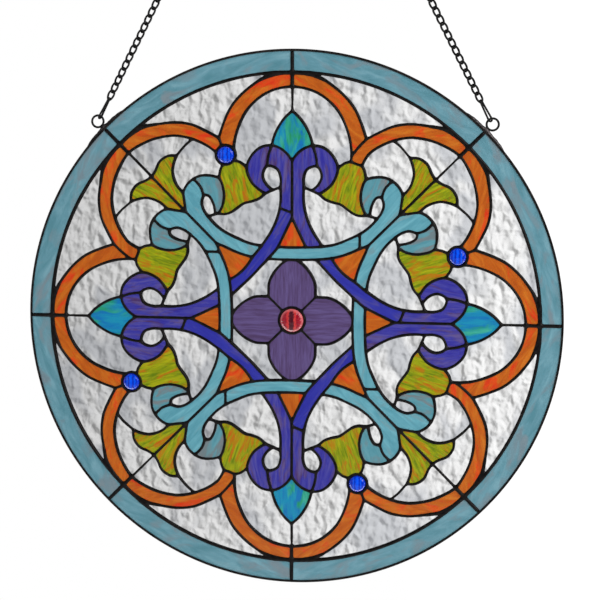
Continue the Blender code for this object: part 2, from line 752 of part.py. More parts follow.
def add_hardware(panel):
    """The rings, the strips below them, the wire hooks and the chain."""
    ends = []
    for side, sign in (("left", -1), ("right", 1)):
        diagonal = math.radians(90 - 45 * sign)
        data = flat_piece(f"rim_brace_{side}", [brace_outline(diagonal)], BRACE_DEPTH)
        panel.add(f"rim_brace_{side}", data, "rim")
        place = (RING_DISTANCE * math.cos(diagonal), RING_DISTANCE * math.sin(diagonal))
        ring = panel.add(f"hanging_ring_{side}", ring_mesh(f"hanging_ring_{side}"), "chain")
        ring.location = drawn(place, 0)
        hub = Vector((place[0], 0, place[1] - JEWEL_DROP))
        up = (-hub).normalized()
        low = hub + up * (RING_RADIUS - RING_WIRE - CLEARANCE)
        data = wire(f"wire_hook_{side}", hook_path(low, up, HOOK_TURN[side]), HOOK_WIRE, cyclic=True)
        panel.add(f"wire_hook_{side}", data, "chain", in_plane=False)
        ends.append(low + up * (HOOK_LENGTH - 2 * HOOK_WIRE + CLEARANCE))
    path, radii = chain_path(ends)
    chain = panel.add("chain", wire("chain", path, LINK_WIDTH / 2, radii), "chain", in_plane=False)
    chain.scale.y = LINK_FLATTENING


def ring_mesh(name):
    """A round wire ring, from a torus."""
    bpy.ops.mesh.primitive_torus_add(major_segments=RING_SIDES, minor_segments=WIRE_SIDES,
                                     major_radius=RING_RADIUS * MM, minor_radius=RING_WIRE * MM)
    made = bpy.context.object
    mesh = made.data
    mesh.name = name
    bpy.data.objects.remove(made)
    return mesh


def main():
    """Builds the whole panel."""
    for old in list(bpy.data.objects):
        bpy.data.objects.remove(old)
    panel = Panel("stained_glass_panel")
    add_panes(panel, panes_of(whole_pattern(PANE_FLATNESS)))
    add_gems(panel)
    seams = panes_of(whole_pattern(BEAD_FLATNESS))
    panel.add("solder_lines", bead_network("solder_lines", seams), "solder")
    add_rim(panel)
    add_hardware(panel)


main()
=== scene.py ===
"""Round stained glass panel with its hanging chain, dressed for the studio.

The panel stands in the XZ plane and faces -Y. The origin is the chain's middle link, and the centre jewel
lies straight below it. Shapes are worked out in millimetres. A place of the drawing is given right of and
above the jewel; its height is counted from the middle of the glass towards the viewer.
"""

from __future__ import annotations

import logging
import math
from dataclasses import dataclass, field
from enum import Enum
from functools import partial
from string import ascii_lowercase
from typing import Callable, Iterable

import bpy
import numpy as np
from mathutils import Matrix, Vector, noise
from mathutils.geometry import delaunay_2d_cdt


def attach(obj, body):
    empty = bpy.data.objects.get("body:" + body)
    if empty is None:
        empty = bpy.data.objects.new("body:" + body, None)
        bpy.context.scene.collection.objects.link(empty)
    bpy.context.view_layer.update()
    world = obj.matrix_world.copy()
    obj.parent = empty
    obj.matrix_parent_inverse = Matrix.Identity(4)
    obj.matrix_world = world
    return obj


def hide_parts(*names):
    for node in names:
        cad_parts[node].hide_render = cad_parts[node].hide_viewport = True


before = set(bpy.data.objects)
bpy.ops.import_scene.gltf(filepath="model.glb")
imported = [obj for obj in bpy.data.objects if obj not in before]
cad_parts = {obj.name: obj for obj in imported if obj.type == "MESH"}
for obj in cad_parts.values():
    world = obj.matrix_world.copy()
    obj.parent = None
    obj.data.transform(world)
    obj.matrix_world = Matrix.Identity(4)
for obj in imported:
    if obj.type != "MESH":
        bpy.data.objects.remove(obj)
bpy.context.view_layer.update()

log = logging.getLogger("panel")

Place = tuple[float, float]
Pair = tuple[float, float]
Triple = tuple[float, float, float]
Tone = tuple[int, int, int]
Face = tuple[int, ...]
Form = tuple[list, list[Face]]
Socket = bpy.types.NodeSocket

MM = 0.001
JEWEL_DROP = 595.0
JEWEL_CENTRE = (0.0, 0.0)
BEAD_EDGE_RADIUS = 277.6
BORDER_RADIUS = 256.5
GLASS_RADIUS = 278.9
GLASS_THICKNESS = 3.0
JEWEL_SEAM_RADIUS = 13.6
NUGGET_SEAM_RADIUS = 10.2
NUGGET_CENTRE = (69.4, 171.2)
RIM_RADIUS = 280.0
CURVE_SPACING = 1.8
EDGE_SLACK = 0.05
SPIKE_LIMIT = 0.3
MITRE_LIMIT = 0.35
GRAIN_SHIFT = (61.0, 37.0, 23.0)
GLASS_IOR = 1.45
CAST_GLASS_IOR = 1.5
NOISE_SPAN = (0.3, 0.7)
SIDES = ("top", "right", "bottom", "left")
CORNERS = ("upper_right", "lower_right", "lower_left", "upper_left")
RING_SIDES = {"left": -1, "right": 1}
WIRE_SHARP = 60.0

# Junctions of the leads in the eighth right of the top
RIM_TOP = (0.0, BEAD_EDGE_RADIUS)
BORDER_TOP = (0.0, BORDER_RADIUS)
CROWN_INNER = (0.0, 241.4)
BUD_TIP = (0.0, 217.0)
SCROLL_FOOT = (0.0, 166.0)
STEM_CUT_INNER = (0.0, 112.0)
STEM_FORK = (0.0, 107.0)
STRAP_TOP = (0.0, 76.2)
STRAP_LOW = (0.0, 63.3)
PETAL_TOUCH = (5.0, 63.3)
PETAL_MEET = (24.7, 24.7)
DIAG_INNER = (43.9, 43.9)
DIAG_OUTER = (51.6, 51.6)
STRAP_FORK = (79.5, 79.5)
STEM_BASE = (111.5, 111.5)
LEAF_NOTCH = (147.5, 147.5)
DIAG_CROWN = (172.0, 172.0)
CROSS_IN_TOP = (14.6, 76.5)
CROSS_OUT_TOP = (31.7, 77.5)
CROSS_IN_LOW = (25.2, 63.9)
CROSS_OUT_LOW = (41.2, 65.7)
STEM_CUT_OUTER = (12.9, 117.0)
STEM_CORNER = (12.1, 138.5)
TAIL_END = (20.3, 135.2)
BELL_TIP = (28.0, 131.8)
SCROLL_TOP = (21.3, 181.4)
EYE_TOP = (26.0, 160.2)
SCROLL_SIDE = (47.4, 158.5)
BELL_TOP = (60.9, 165.4)
BELL_SHOULDER = (72.2, 161.4)
HOOK_MEET = (76.4, 147.5)
BELL_TOE = (77.3, 110.2)
SMALL_EYE_LOW = (80.2, 109.7)
SMALL_EYE_TOP = (92.8, 129.3)
SMALL_CORNER = (88.3, 107.0)
HOOK_TOP = (103.5, 146.0)
LEAF_JOIN = (114.3, 131.0)
LEAF_TIP = (121.2, 169.8)
SHORT_TOP = (104.2, 187.2)
LOBE_MEET = (76.6, 188.5)
LOBE_FOOT = (61.1, 177.0)
ARC_CUT_FOOT = (61.3, 171.0)
DIAG_FOOT = (79.4, 173.8)
NUGGET_TOP = (73.4, 180.6)
STRAP_CUT_TOP = (70.4, 91.2)
STRAP_CUT_LOW = (70.3, 75.8)


def on_circle(radius: float, across: float) -> Place:
    """The place on a circle about the jewel that lies this far right of it."""
    return (across, math.sqrt(radius * radius - across * across))


CROWN_SPLIT = on_circle(BORDER_RADIUS, 17.0)
DIAG_SPLIT = on_circle(BORDER_RADIUS, 163.0)
BORDER_DIAG = on_circle(BORDER_RADIUS, BORDER_RADIUS / math.sqrt(2))
RIM_DIAG = on_circle(BEAD_EDGE_RADIUS, BEAD_EDGE_RADIUS / math.sqrt(2))
BORDER_MIDDLE = (BORDER_RADIUS + BEAD_EDGE_RADIUS) / 2
JEWEL_TOP = on_circle(JEWEL_SEAM_RADIUS, 0.0)
JEWEL_DIAG = on_circle(JEWEL_SEAM_RADIUS, JEWEL_SEAM_RADIUS / math.sqrt(2))


def over_top(point: Place) -> Place:
    """Mirrors a place about the upright axis."""
    return (-point[0], point[1])


def over_diagonal(point: Place) -> Place:
    """Mirrors a place about the diagonal."""
    return (point[1], point[0])


def quarter_turn(point: Place, turns: int) -> Place:
    """Turns a place clockwise about the jewel by this many quarters."""
    x, z = point
    for _ in range(turns % 4):
        x, z = z, -x
    return (x, z)


def in_frame(point: Place, height: float) -> Vector:
    """A place of the drawing, this far towards the viewer, in the part's frame."""
    return Vector((point[0], -height, point[1] - JEWEL_DROP))


def smooth(points: list[Place], before: Place | None = None, after: Place | None = None) -> list[Place]:
    """A smooth curve through places.

    Args:
        points: The places that the curve passes.
        before: A place that bends the curve's start, as if the curve came from there.
        after: A place that bends its end.

    Returns:
        Closely spaced places on the curve, the given ones among them.
    """
    first = before or (2 * points[0][0] - points[1][0], 2 * points[0][1] - points[1][1])
    last = after or (2 * points[-1][0] - points[-2][0], 2 * points[-1][1] - points[-2][1])
    knots = [Vector(p) for p in (first, *points, last)]
    places = [tuple(points[0])]
    for p0, p1, p2, p3 in zip(knots, knots[1:], knots[2:], knots[3:]):
        t1 = math.sqrt((p1 - p0).length)
        t2 = t1 + math.sqrt((p2 - p1).length)
        t3 = t2 + math.sqrt((p3 - p2).length)
        steps = max(1, round((p2 - p1).length / CURVE_SPACING))
        for step in range(1, steps):
            t = t1 + (t2 - t1) * step / steps
            a1 = p0.lerp(p1, t / t1)
            a2 = p1.lerp(p2, (t - t1) / (t2 - t1))
            a3 = p2.lerp(p3, (t - t2) / (t3 - t2))
            b1 = a1.lerp(a2, t / t2)
            b2 = a2.lerp(a3, (t - t1) / (t3 - t1))
            place = b1.lerp(b2, (t - t1) / (t2 - t1))
            places.append((place.x, place.y))
        places.append((p2.x, p2.y))
    return places


def straight(*points: Place) -> list[Place]:
    """Straight stretches between places, divided as finely as the curves are.

    Args:
        points: The places, in order.

    Returns:
        Closely spaced places, the given ones among them.
    """
    places = [points[0]]
    for a, b in zip(points, points[1:]):
        steps = max(1, round(math.dist(a, b) / CURVE_SPACING))
        places += [(a[0] + (b[0] - a[0]) * i / steps, a[1] + (b[1] - a[1]) * i / steps)
                   for i in range(1, steps + 1)]
    return places


def arc(centre: Place, start: Place, end: Place) -> list[Place]:
    """The round stretch, clockwise about a centre, from one place to another.

    Args:
        centre: The centre.
        start: Where the stretch starts.
        end: Where it ends, as far from the centre.

    Returns:
        Closely spaced places on the stretch, both ends among them.
    """
    radius = math.dist(centre, start)
    first = math.atan2(start[1] - centre[1], start[0] - centre[0])
    last = math.atan2(end[1] - centre[1], end[0] - centre[0])
    sweep = (last - first) % math.tau - math.tau
    count = max(2, round(abs(sweep) * radius / CURVE_SPACING))
    angles = [first + sweep * step / count for step in range(1, count)]
    between = [(centre[0] + radius * math.cos(a), centre[1] + radius * math.sin(a)) for a in angles]
    return [start, *between, end]


class Seam(Enum):
    """The kinds of seam; the value is half the bead's width in millimetres, 0 where the rim covers it."""

    SPOKE = 1.95
    BORDER = 1.65
    WIDE = 1.4
    THIN = 1.15
    EDGE = 0.0


@dataclass(frozen=True)
class Lead:
    """One lead of the drawing: the places along its middle, and its kind of seam."""

    places: list[Place]
    seam: Seam = Seam.WIDE


@dataclass
class LeadDrawing:
    """The leads of the whole round, and the panes that they enclose.

    One eighth is drawn. It is mirrored and turned, apart from the leads where the straps pass over and under
    each other and where a nugget takes the place of a tapered arc.
    """

    decimals: int = 2
    seams: dict[tuple[Place, Place], Seam] = field(default_factory=dict)
    panes: list[list[Place]] = field(default_factory=list)

    def shared(self) -> list[Lead]:
        """The leads that every eighth has."""
        border = [
            arc(JEWEL_CENTRE, BORDER_TOP, CROWN_SPLIT),
            arc(JEWEL_CENTRE, CROWN_SPLIT, DIAG_SPLIT),
            arc(JEWEL_CENTRE, DIAG_SPLIT, BORDER_DIAG),
        ]
        spokes = [straight(RIM_TOP, BORDER_TOP, CROWN_INNER), straight(RIM_DIAG, BORDER_DIAG, DIAG_CROWN)]
        wide = [
            arc(JEWEL_CENTRE, JEWEL_TOP, JEWEL_DIAG),
            # upright and diagonal leads
            straight(SCROLL_FOOT, STEM_CUT_INNER, STEM_FORK),
            straight(LEAF_NOTCH, STEM_BASE, STRAP_FORK),
            # orange arcs of the upright and the diagonal lobe
            smooth([CROWN_SPLIT, (25.6, 252.4), (33.6, 248.2), (51.6, 234.5), (64.1, 219.7), (71.5, 203.6),
                    LOBE_MEET], before=on_circle(BORDER_RADIUS, 4)),
            smooth([CROWN_INNER, (20, 237.9), (35.5, 229.2), (47.8, 216.4), (56, 200), (60, 186), LOBE_FOOT],
                   before=(-20, 237.9)),
            smooth([LOBE_MEET, (90.4, 195.8), (105.2, 202), (122, 204.1), (141.8, 202), DIAG_SPLIT],
                   after=on_circle(BORDER_RADIUS, 173)),
            smooth([DIAG_FOOT, (88.6, 180.3), SHORT_TOP, (122, 190.4), (142, 187.6), (159, 180.7),
                    DIAG_CROWN], after=(180.7, 159)),
            # bud and the scroll round its foot
            smooth([BUD_TIP, (8, 209.4), (14.7, 199.6), (18.9, 190.2), SCROLL_TOP]),
            smooth([SCROLL_FOOT, (5.3, 173), (12.3, 178.5), SCROLL_TOP, (31.7, 179.8), (39.6, 174),
                    (45, 166.2), SCROLL_SIDE, (45.7, 150.2), (41, 141.6), (34.8, 136), BELL_TIP]),
            smooth([SCROLL_TOP, (24.6, 171), EYE_TOP]),
            smooth([STEM_CORNER, (11.9, 148), (15.6, 157.2), EYE_TOP, (30.8, 150.5), (27.3, 141.5),
                    TAIL_END]),
            straight(STEM_CORNER, TAIL_END, BELL_TIP),
            # bell flower
            smooth([SCROLL_SIDE, (51.4, 161.8), (55.9, 164.4), BELL_TOP]),
            smooth([BELL_SHOULDER, (75, 155.4), HOOK_MEET]),
            smooth([HOOK_MEET, (73.6, 142.3), (71.1, 129.5), (73.3, 117.3), BELL_TOE]),
            smooth([BELL_TIP, (34.5, 126.3), (42, 123.4), (50, 121.4), (57, 116.6), (64, 111.7), (70, 109.8),
                    BELL_TOE]),
            straight(BELL_TOE, SMALL_EYE_LOW, SMALL_CORNER),
            # small hook beside the diagonal, with its eye
            smooth([SMALL_EYE_TOP, (87.5, 128.8), (82.7, 121), SMALL_EYE_LOW]),
            smooth([SMALL_CORNER, (92.4, 113), (94.9, 121), SMALL_EYE_TOP]),
            smooth([SMALL_EYE_TOP, (96, 138), HOOK_TOP]),
            smooth([STEM_BASE, (112.7, 120), LEAF_JOIN]),
            smooth([LEAF_JOIN, (110.6, 139.3), HOOK_TOP, (95, 149.5), (85, 149.5), HOOK_MEET],
                   before=(113.2, 121)),
            # leaves
            smooth([LEAF_JOIN, (121.5, 139.7), (125.4, 152), (124.2, 162), LEAF_TIP]),
            smooth([LEAF_TIP, (130, 169.4), (139, 163.5), (143.5, 154), LEAF_NOTCH]),
            # long straps that cross
            smooth([STEM_CORNER, (11.8, 128), STEM_CUT_OUTER, (16.1, 104.8), (22.3, 91.7), CROSS_OUT_TOP]),
            smooth([CROSS_OUT_LOW, (45.9, 58.4), DIAG_OUTER], before=CROSS_OUT_TOP, after=(58.4, 45.9)),
            smooth([STEM_FORK, (5.1, 96.2), (9.6, 87), CROSS_IN_TOP]),
            smooth([CROSS_IN_LOW, (34, 54.4), DIAG_INNER], before=CROSS_IN_TOP, after=(54.4, 34)),
            smooth([STRAP_TOP, CROSS_IN_TOP], before=over_top(CROSS_IN_TOP), after=CROSS_OUT_TOP),
            smooth([CROSS_OUT_TOP, (45.2, 80), (58.3, 85.3), STRAP_CUT_TOP, (80.4, 98.5), SMALL_CORNER],
                   before=CROSS_IN_TOP),
            straight(STRAP_LOW, PETAL_TOUCH, CROSS_IN_LOW),
            smooth([CROSS_OUT_LOW, (51, 68), (61, 71.6), STRAP_CUT_LOW, STRAP_FORK], before=CROSS_IN_LOW),
            # flower
            smooth([PETAL_TOUCH, (12.5, 57.5), (19.6, 48.7), (24, 38.9), PETAL_MEET]),
        ]
        thin = [
            straight(PETAL_MEET, JEWEL_DIAG),
            straight(CROWN_INNER, BUD_TIP),
            straight(DIAG_CROWN, LEAF_NOTCH),
            smooth([SHORT_TOP, (112, 180.6), LEAF_TIP]),
        ]
        edge = [arc(JEWEL_CENTRE, RIM_TOP, RIM_DIAG)]
        kinds = {Seam.EDGE: edge, Seam.BORDER: border, Seam.SPOKE: spokes, Seam.WIDE: wide, Seam.THIN: thin}
        return [Lead(places, seam) for seam, group in kinds.items() for places in group]

    def clockwise(self) -> list[Lead]:
        """The leads of the eighths clockwise of a bud only: the light strap lies over, the arcs meet."""
        lines = [
            smooth([LOBE_FOOT, ARC_CUT_FOOT, BELL_TOP]),
            smooth([LOBE_MEET, (69, 180.6), ARC_CUT_FOOT]),
            smooth([DIAG_FOOT, (75.4, 168), BELL_SHOULDER]),
            smooth([BELL_TOP, (66.6, 163), BELL_SHOULDER]),
            smooth([CROSS_IN_TOP, CROSS_OUT_TOP], before=STRAP_TOP, after=(45.2, 80)),
            smooth([CROSS_IN_LOW, CROSS_OUT_LOW], before=PETAL_TOUCH, after=(51, 68)),
            straight(STRAP_CUT_TOP, STRAP_CUT_LOW),
        ]
        return [Lead(places) for places in lines]

    def counter(self) -> list[Lead]:
        """The leads of the eighths counter-clockwise of a bud only: a nugget, and the dark strap over."""
        ring = (LOBE_FOOT, NUGGET_TOP, DIAG_FOOT, BELL_SHOULDER, BELL_TOP, LOBE_FOOT)
        lines = [
            *(arc(NUGGET_CENTRE, a, b) for a, b in zip(ring, ring[1:])),
            straight(LOBE_MEET, NUGGET_TOP),
            smooth([CROSS_OUT_TOP, CROSS_OUT_LOW], before=(22.3, 91.7), after=(45.9, 58.4)),
            smooth([CROSS_IN_TOP, CROSS_IN_LOW], before=(9.6, 87), after=(34, 54.4)),
            straight(STEM_CUT_INNER, STEM_CUT_OUTER),
        ]
        return [Lead(places) for places in lines]

    def name(self, point: Place) -> Place:
        """A place rounded, so that equal places are one."""
        return (round(point[0], self.decimals) + 0.0, round(point[1], self.decimals) + 0.0)

    def draw(self) -> None:
        """Draws every lead of the round and finds the panes between them."""
        shared = self.shared()
        for own, mirrored in ((self.clockwise(), False), (self.counter(), True)):
            for lead in shared + own:
                line = [over_diagonal(p) for p in lead.places] if mirrored else lead.places
                for turns in range(4):
                    names = [self.name(quarter_turn(p, turns)) for p in line]
                    for a, b in zip(names, names[1:]):
                        if a != b:
                            self.seams[(min(a, b), max(a, b))] = lead.seam
        self.panes = self.enclosed()

    def enclosed(self) -> list[list[Place]]:
        """The closed outlines between the leads, each counter-clockwise."""
        near: dict[Place, set[Place]] = {}
        for a, b in self.seams:
            near.setdefault(a, set()).add(b)
            near.setdefault(b, set()).add(a)
        turn = {}
        for place, others in near.items():
            order = sorted(others, key=lambda p: math.atan2(p[1] - place[1], p[0] - place[0]))
            for i, other in enumerate(order):
                turn[(other, place)] = (place, order[i - 1])
        todo = dict.fromkeys(turn)
        panes = []
        while todo:
            edge = next(iter(todo))
            loop = []
            while edge in todo:
                del todo[edge]
                loop.append(edge[0])
                edge = turn[edge]
            if area(loop) > 0:
                panes.append(loop)
        return panes

    def pane_at(self, point: Place) -> int:
        """The number of the pane that a place lies in."""
        spot = np.array([point])
        return next(i for i, loop in enumerate(self.panes) if inside(spot, np.array(loop))[0])


def area(loop: list[Place]) -> float:
    """The signed area of a closed outline, positive when it runs counter-clockwise."""
    return 0.5 * sum(a[0] * b[1] - b[0] * a[1] for a, b in zip(loop, loop[1:] + loop[:1]))


def inside(points: np.ndarray, loop: np.ndarray) -> np.ndarray:
    """Which places lie inside a closed outline.

    Args:
        points: The places, one in each row.
        loop: The outline's places, one in each row.

    Returns:
        True or False for each place.
    """
    start, end = loop, np.roll(loop, -1, axis=0)
    x, z = points[:, None, 0], points[:, None, 1]
    span = (start[:, 1] > z) != (end[:, 1] > z)
    rise = np.where(start[:, 1] == end[:, 1], 1e-9, end[:, 1] - start[:, 1])
    meets = x < start[:, 0] + (z - start[:, 1]) * (end[:, 0] - start[:, 0]) / rise
    return (span & meets).sum(axis=1) % 2 == 1


def distance(points: np.ndarray, loop: np.ndarray) -> np.ndarray:
    """How far places lie from a closed outline.

    Args:
        points: The places, one in each row.
        loop: The outline's places, one in each row.

    Returns:
        The distance of each place.
    """
    start, end = loop, np.roll(loop, -1, axis=0)
    side = end - start
    length = np.maximum((side * side).sum(axis=1), 1e-12)
    away = points[:, None, :] - start
    along = np.clip((away * side).sum(axis=2) / length, 0, 1)
    return np.linalg.norm(away - along[..., None] * side, axis=2).min(axis=1)


def drawn_in(loop: list[Place], inset: float) -> list[Place]:
    """A closed outline moved inwards; places on the outer circle move out to the glass's edge.

    Args:
        loop: The outline, counter-clockwise.
        inset: How far it moves.

    Returns:
        The moved outline.
    """
    count = len(loop)
    result = []
    for i, (x, z) in enumerate(loop):
        reach = math.hypot(x, z)
        if reach > BEAD_EDGE_RADIUS - EDGE_SLACK:
            result.append((x * GLASS_RADIUS / reach, z * GLASS_RADIUS / reach))
            continue
        back = Vector((x, z)) - Vector(loop[i - 1])
        on = Vector(loop[(i + 1) % count]) - Vector((x, z))
        n0, n1 = Vector((-back.y, back.x)).normalized(), Vector((-on.y, on.x)).normalized()
        middle = n0 + n1
        if middle.length < SPIKE_LIMIT:
            middle = (on.normalized() - back.normalized()) * 0.5
        way = middle.normalized()
        move = way * inset / max(MITRE_LIMIT, way.dot(n1))
        result.append((x + move.x, z + move.y))
    return result


def linear(tone: Tone) -> tuple[float, float, float, float]:
    """A tone from 0 to 255 per channel as the linear colour that a shader takes."""
    values = [c / 255 for c in tone]
    return (*(c / 12.92 if c <= 0.04045 else ((c + 0.055) / 1.055) ** 2.4 for c in values), 1.0)


class Graph:
    """Shader nodes of a material or of the world, with short calls to add and link them."""

    def __init__(self, owner: bpy.types.Material | bpy.types.World, shader: str = "Principled BSDF") -> None:
        """Takes up the owner's nodes and its shader."""
        owner.use_nodes = True
        self.owner = owner
        self.tree = owner.node_tree
        self.shader = self.tree.nodes[shader]

    def link(self, source: Socket, target: Socket) -> None:
        """Links two sockets."""
        self.tree.links.new(source, target)

    def add(self, kind: str, *sources: Socket, sockets: dict[str | int, object] | None = None,
            **properties: object) -> bpy.types.Node:
        """Adds a node.

        Args:
            kind: What follows ShaderNode in the name of its type.
            sources: What its first inputs are linked to.
            sockets: Values of its inputs, by name or number.
            properties: Its properties.

        Returns:
            The node.
        """
        node = self.tree.nodes.new("ShaderNode" + kind)
        for name, value in properties.items():
            setattr(node, name, value)
        for name, value in (sockets or {}).items():
            node.inputs[name].default_value = value
        for source, target in zip(sources, node.inputs):
            self.link(source, target)
        return node

    def combined(self, operation: str, *sources: Socket) -> Socket:
        """The result of a sum or another operation on values."""
        return self.add("Math", *sources, operation=operation).outputs[0]

    def stretched(self, size: Triple, scatter: bool = True) -> Socket:
        """The piece's own coordinates, counted in grains.

        Args:
            size: The grain's width, length and depth in millimetres.
            scatter: Whether each piece gets its own stretch of the grain.

        Returns:
            The socket of the coordinates.
        """
        scale = tuple(1 / (s * MM) for s in size)
        mapping = self.add("Mapping", self.add("TexCoord").outputs["Object"], sockets={"Scale": scale})
        if scatter:
            random = self.add("ObjectInfo").outputs["Random"]
            shift = self.add("VectorMath", random, sockets={1: GRAIN_SHIFT}, operation="MULTIPLY")
            self.link(shift.outputs[0], mapping.inputs["Location"])
        return mapping.outputs[0]

    def noise(self, vector: Socket, detail: float, roughness: float = 0.55,
              distortion: float = 0.0) -> Socket:
        """Noise at these coordinates, with one wave to each unit."""
        sockets = {"Scale": 1.0, "Detail": detail, "Roughness": roughness, "Distortion": distortion}
        return self.add("TexNoise", vector, sockets=sockets).outputs["Fac"]

    def ramp(self, value: Socket, stops: Iterable[tuple[float, Tone]]) -> Socket:
        """A colour for each value, between stops of (value, tone)."""
        node = self.add("ValToRGB", value)
        elements = node.color_ramp.elements
        first, *between, last = [(at, linear(tone)) for at, tone in stops]
        elements[0].position, elements[0].color = first
        elements[1].position, elements[1].color = last
        for position, colour in between:
            elements.new(position).color = colour
        return node.outputs["Color"]

    def levels(self, value: Socket, given: Pair, wanted: Pair = (0.0, 1.0)) -> Socket:
        """Spreads a value's range over another one."""
        names = ("From Min", "From Max", "To Min", "To Max")
        return self.add("MapRange", value, sockets=dict(zip(names, (*given, *wanted)))).outputs["Result"]

    def mix(self, factor: Socket, first: Socket, second: Socket | Tone) -> Socket:
        """Mixes two colours; the second may be one tone."""
        node = self.add("Mix", data_type="RGBA")
        self.link(factor, node.inputs["Factor"])
        self.link(first, node.inputs["A"])
        if isinstance(second, tuple):
            node.inputs["B"].default_value = linear(second)
        else:
            self.link(second, node.inputs["B"])
        return node.outputs["Result"]

    def bump(self, height: Socket, distance: float, strength: float) -> None:
        """Gives the surface a relief, this high in millimetres."""
        node = self.add("Bump", sockets={"Distance": distance * MM, "Strength": strength})
        self.link(height, node.inputs["Height"])
        self.link(node.outputs["Normal"], self.shader.inputs["Normal"])

    def surface(self, colour: Socket, **values: float) -> None:
        """Gives the shader its colour and its plain values, named with underscores for spaces."""
        self.link(colour, self.shader.inputs["Base Color"])
        for name, value in values.items():
            self.shader.inputs[name.replace("_", " ")].default_value = value


@dataclass(frozen=True)
class Finish:
    """What pieces are made of: the material's name, and a slot's name, which is not used."""

    name: str
    slot: str

    def make(self) -> bpy.types.Material:
        """Builds the material."""
        graph = Graph(bpy.data.materials.new(self.name))
        self.dress(graph)
        return graph.owner

    def dress(self, graph: Graph) -> None:
        """Builds the look; each kind of finish has its own."""
        raise NotImplementedError


@dataclass(frozen=True)
class StreakyGlass(Finish):
    """Coloured glass with streaks along its grain and some of a second colour.

    Attributes:
        tones: The tones from the darkest to the lightest streak.
        accents: Tones of the second colour, or none.
        accent_share: How much of the glass takes the second colour.
        grain: Width and length of a streak in millimetres.
        patch: Width and length of a patch of the second colour, counted in streaks.
        wave: Size of a wave of the surface in millimetres.
        relief: The waves' height in millimetres, and how strongly they show.
    """

    tones: tuple[Tone, ...]
    accents: tuple[Tone, ...] = ()
    accent_share: float = 0.3
    grain: Pair = (3.0, 26.0)
    depth: float = 8.0
    patch: Pair = (2.2, 1.3)
    wave: Triple = (4.0, 11.0, 5.0)
    relief: Pair = (0.5, 0.35)
    see_through: float = 0.3
    roughness: float = 0.22
    gloss: float = 0.35

    def dress(self, graph: Graph) -> None:
        """Builds the streaks, the patches of the second colour and the waves."""
        streaks = graph.noise(graph.stretched((*self.grain, self.depth)), 4.0, 0.6, 0.6)
        last = max(1, len(self.tones) - 1)
        colour = graph.ramp(streaks, [(0.34 + 0.34 * i / last, tone) for i, tone in enumerate(self.tones)])
        if self.accents:
            width, length = (size * patch for size, patch in zip(self.grain, self.patch))
            patches = graph.noise(graph.stretched((width, length, self.depth)), 3.0, 0.55, 0.8)
            edge = 0.5 + 0.32 * (0.5 - self.accent_share)
            other = graph.ramp(streaks, [(0.38, self.accents[0]), (0.62, self.accents[-1])])
            colour = graph.mix(graph.levels(patches, (edge - 0.05, edge + 0.09)), colour, other)
        graph.bump(graph.noise(graph.stretched(self.wave), 2.0, 0.5), *self.relief)
        graph.surface(colour, Transmission_Weight=self.see_through, Roughness=self.roughness, IOR=GLASS_IOR,
                      Specular_IOR_Level=self.gloss)


@dataclass(frozen=True)
class ClearGlass(Finish):
    """Clear rippled glass: each wave has a painted shade on one side and a painted highlight on the other,
    and some stretches are grey.

    Attributes:
        painted_light_greys: Greys of the painted shade and highlight on the waves' sides, each with its place
            between the dimmest and the brightest.
        wave: Size of a wave in millimetres.
        patch: Size of a calm or a grey stretch.
        step: The way, in waves, over which a wave's slope is taken for its painted shade and highlight.
        steepest: The greatest slope over that way.
        grey_edge: Between which values of the stretches' noise the glass turns grey.
        grey_share: How much of the painted shade and highlight's tone a grey stretch keeps.
        grey: What is added to it.
        relief: The waves' height in millimetres, and how strongly they show.
    """

    # Greys of the painted shade and highlight: one side of each wave darker, the other lighter
    painted_light_greys: tuple[tuple[float, int], ...] = ((0.0, 156), (0.3, 205), (0.46, 226), (0.62, 238), (0.85, 248))
    wave: Triple = (9.0, 12.0, 9.0)
    patch: Triple = (46.0, 64.0, 60.0)
    step: Triple = (0.2, 0.1, 0.0)
    steepest: float = 0.13
    grey_edge: Pair = (0.47, 0.58)
    grey_share: float = 0.6
    grey: Tone = (62, 64, 68)
    relief: Pair = (0.4, 0.25)
    roughness: float = 0.06

    def dress(self, graph: Graph) -> None:
        """Builds the waves, their painted shade and highlight, and the grey stretches."""
        here = graph.stretched(self.wave)
        beside = graph.add("VectorMath", here, sockets={1: self.step}, operation="ADD").outputs[0]
        waves, moved = (graph.noise(place, 1.6, 0.45, 0.3) for place in (here, beside))
        # Painted shade and highlight: the waves' slope makes one side of each wave darker and the other
        # lighter
        painted_slope_light = graph.levels(graph.combined("SUBTRACT", waves, moved), (-self.steepest, self.steepest))
        bright = [(at, (tone, tone, tone)) for at, tone in self.painted_light_greys]
        dim = [(at, tuple(int(self.grey_share * tone + more) for more in self.grey))
               for at, tone in self.painted_light_greys]
        patches = graph.levels(graph.noise(graph.stretched(self.patch), 2.0, 0.5, 0.4), self.grey_edge)
        graph.bump(waves, *self.relief)
        graph.surface(graph.mix(patches, graph.ramp(painted_slope_light, bright), graph.ramp(painted_slope_light, dim)),
                      Transmission_Weight=1.0, Roughness=self.roughness, IOR=GLASS_IOR)


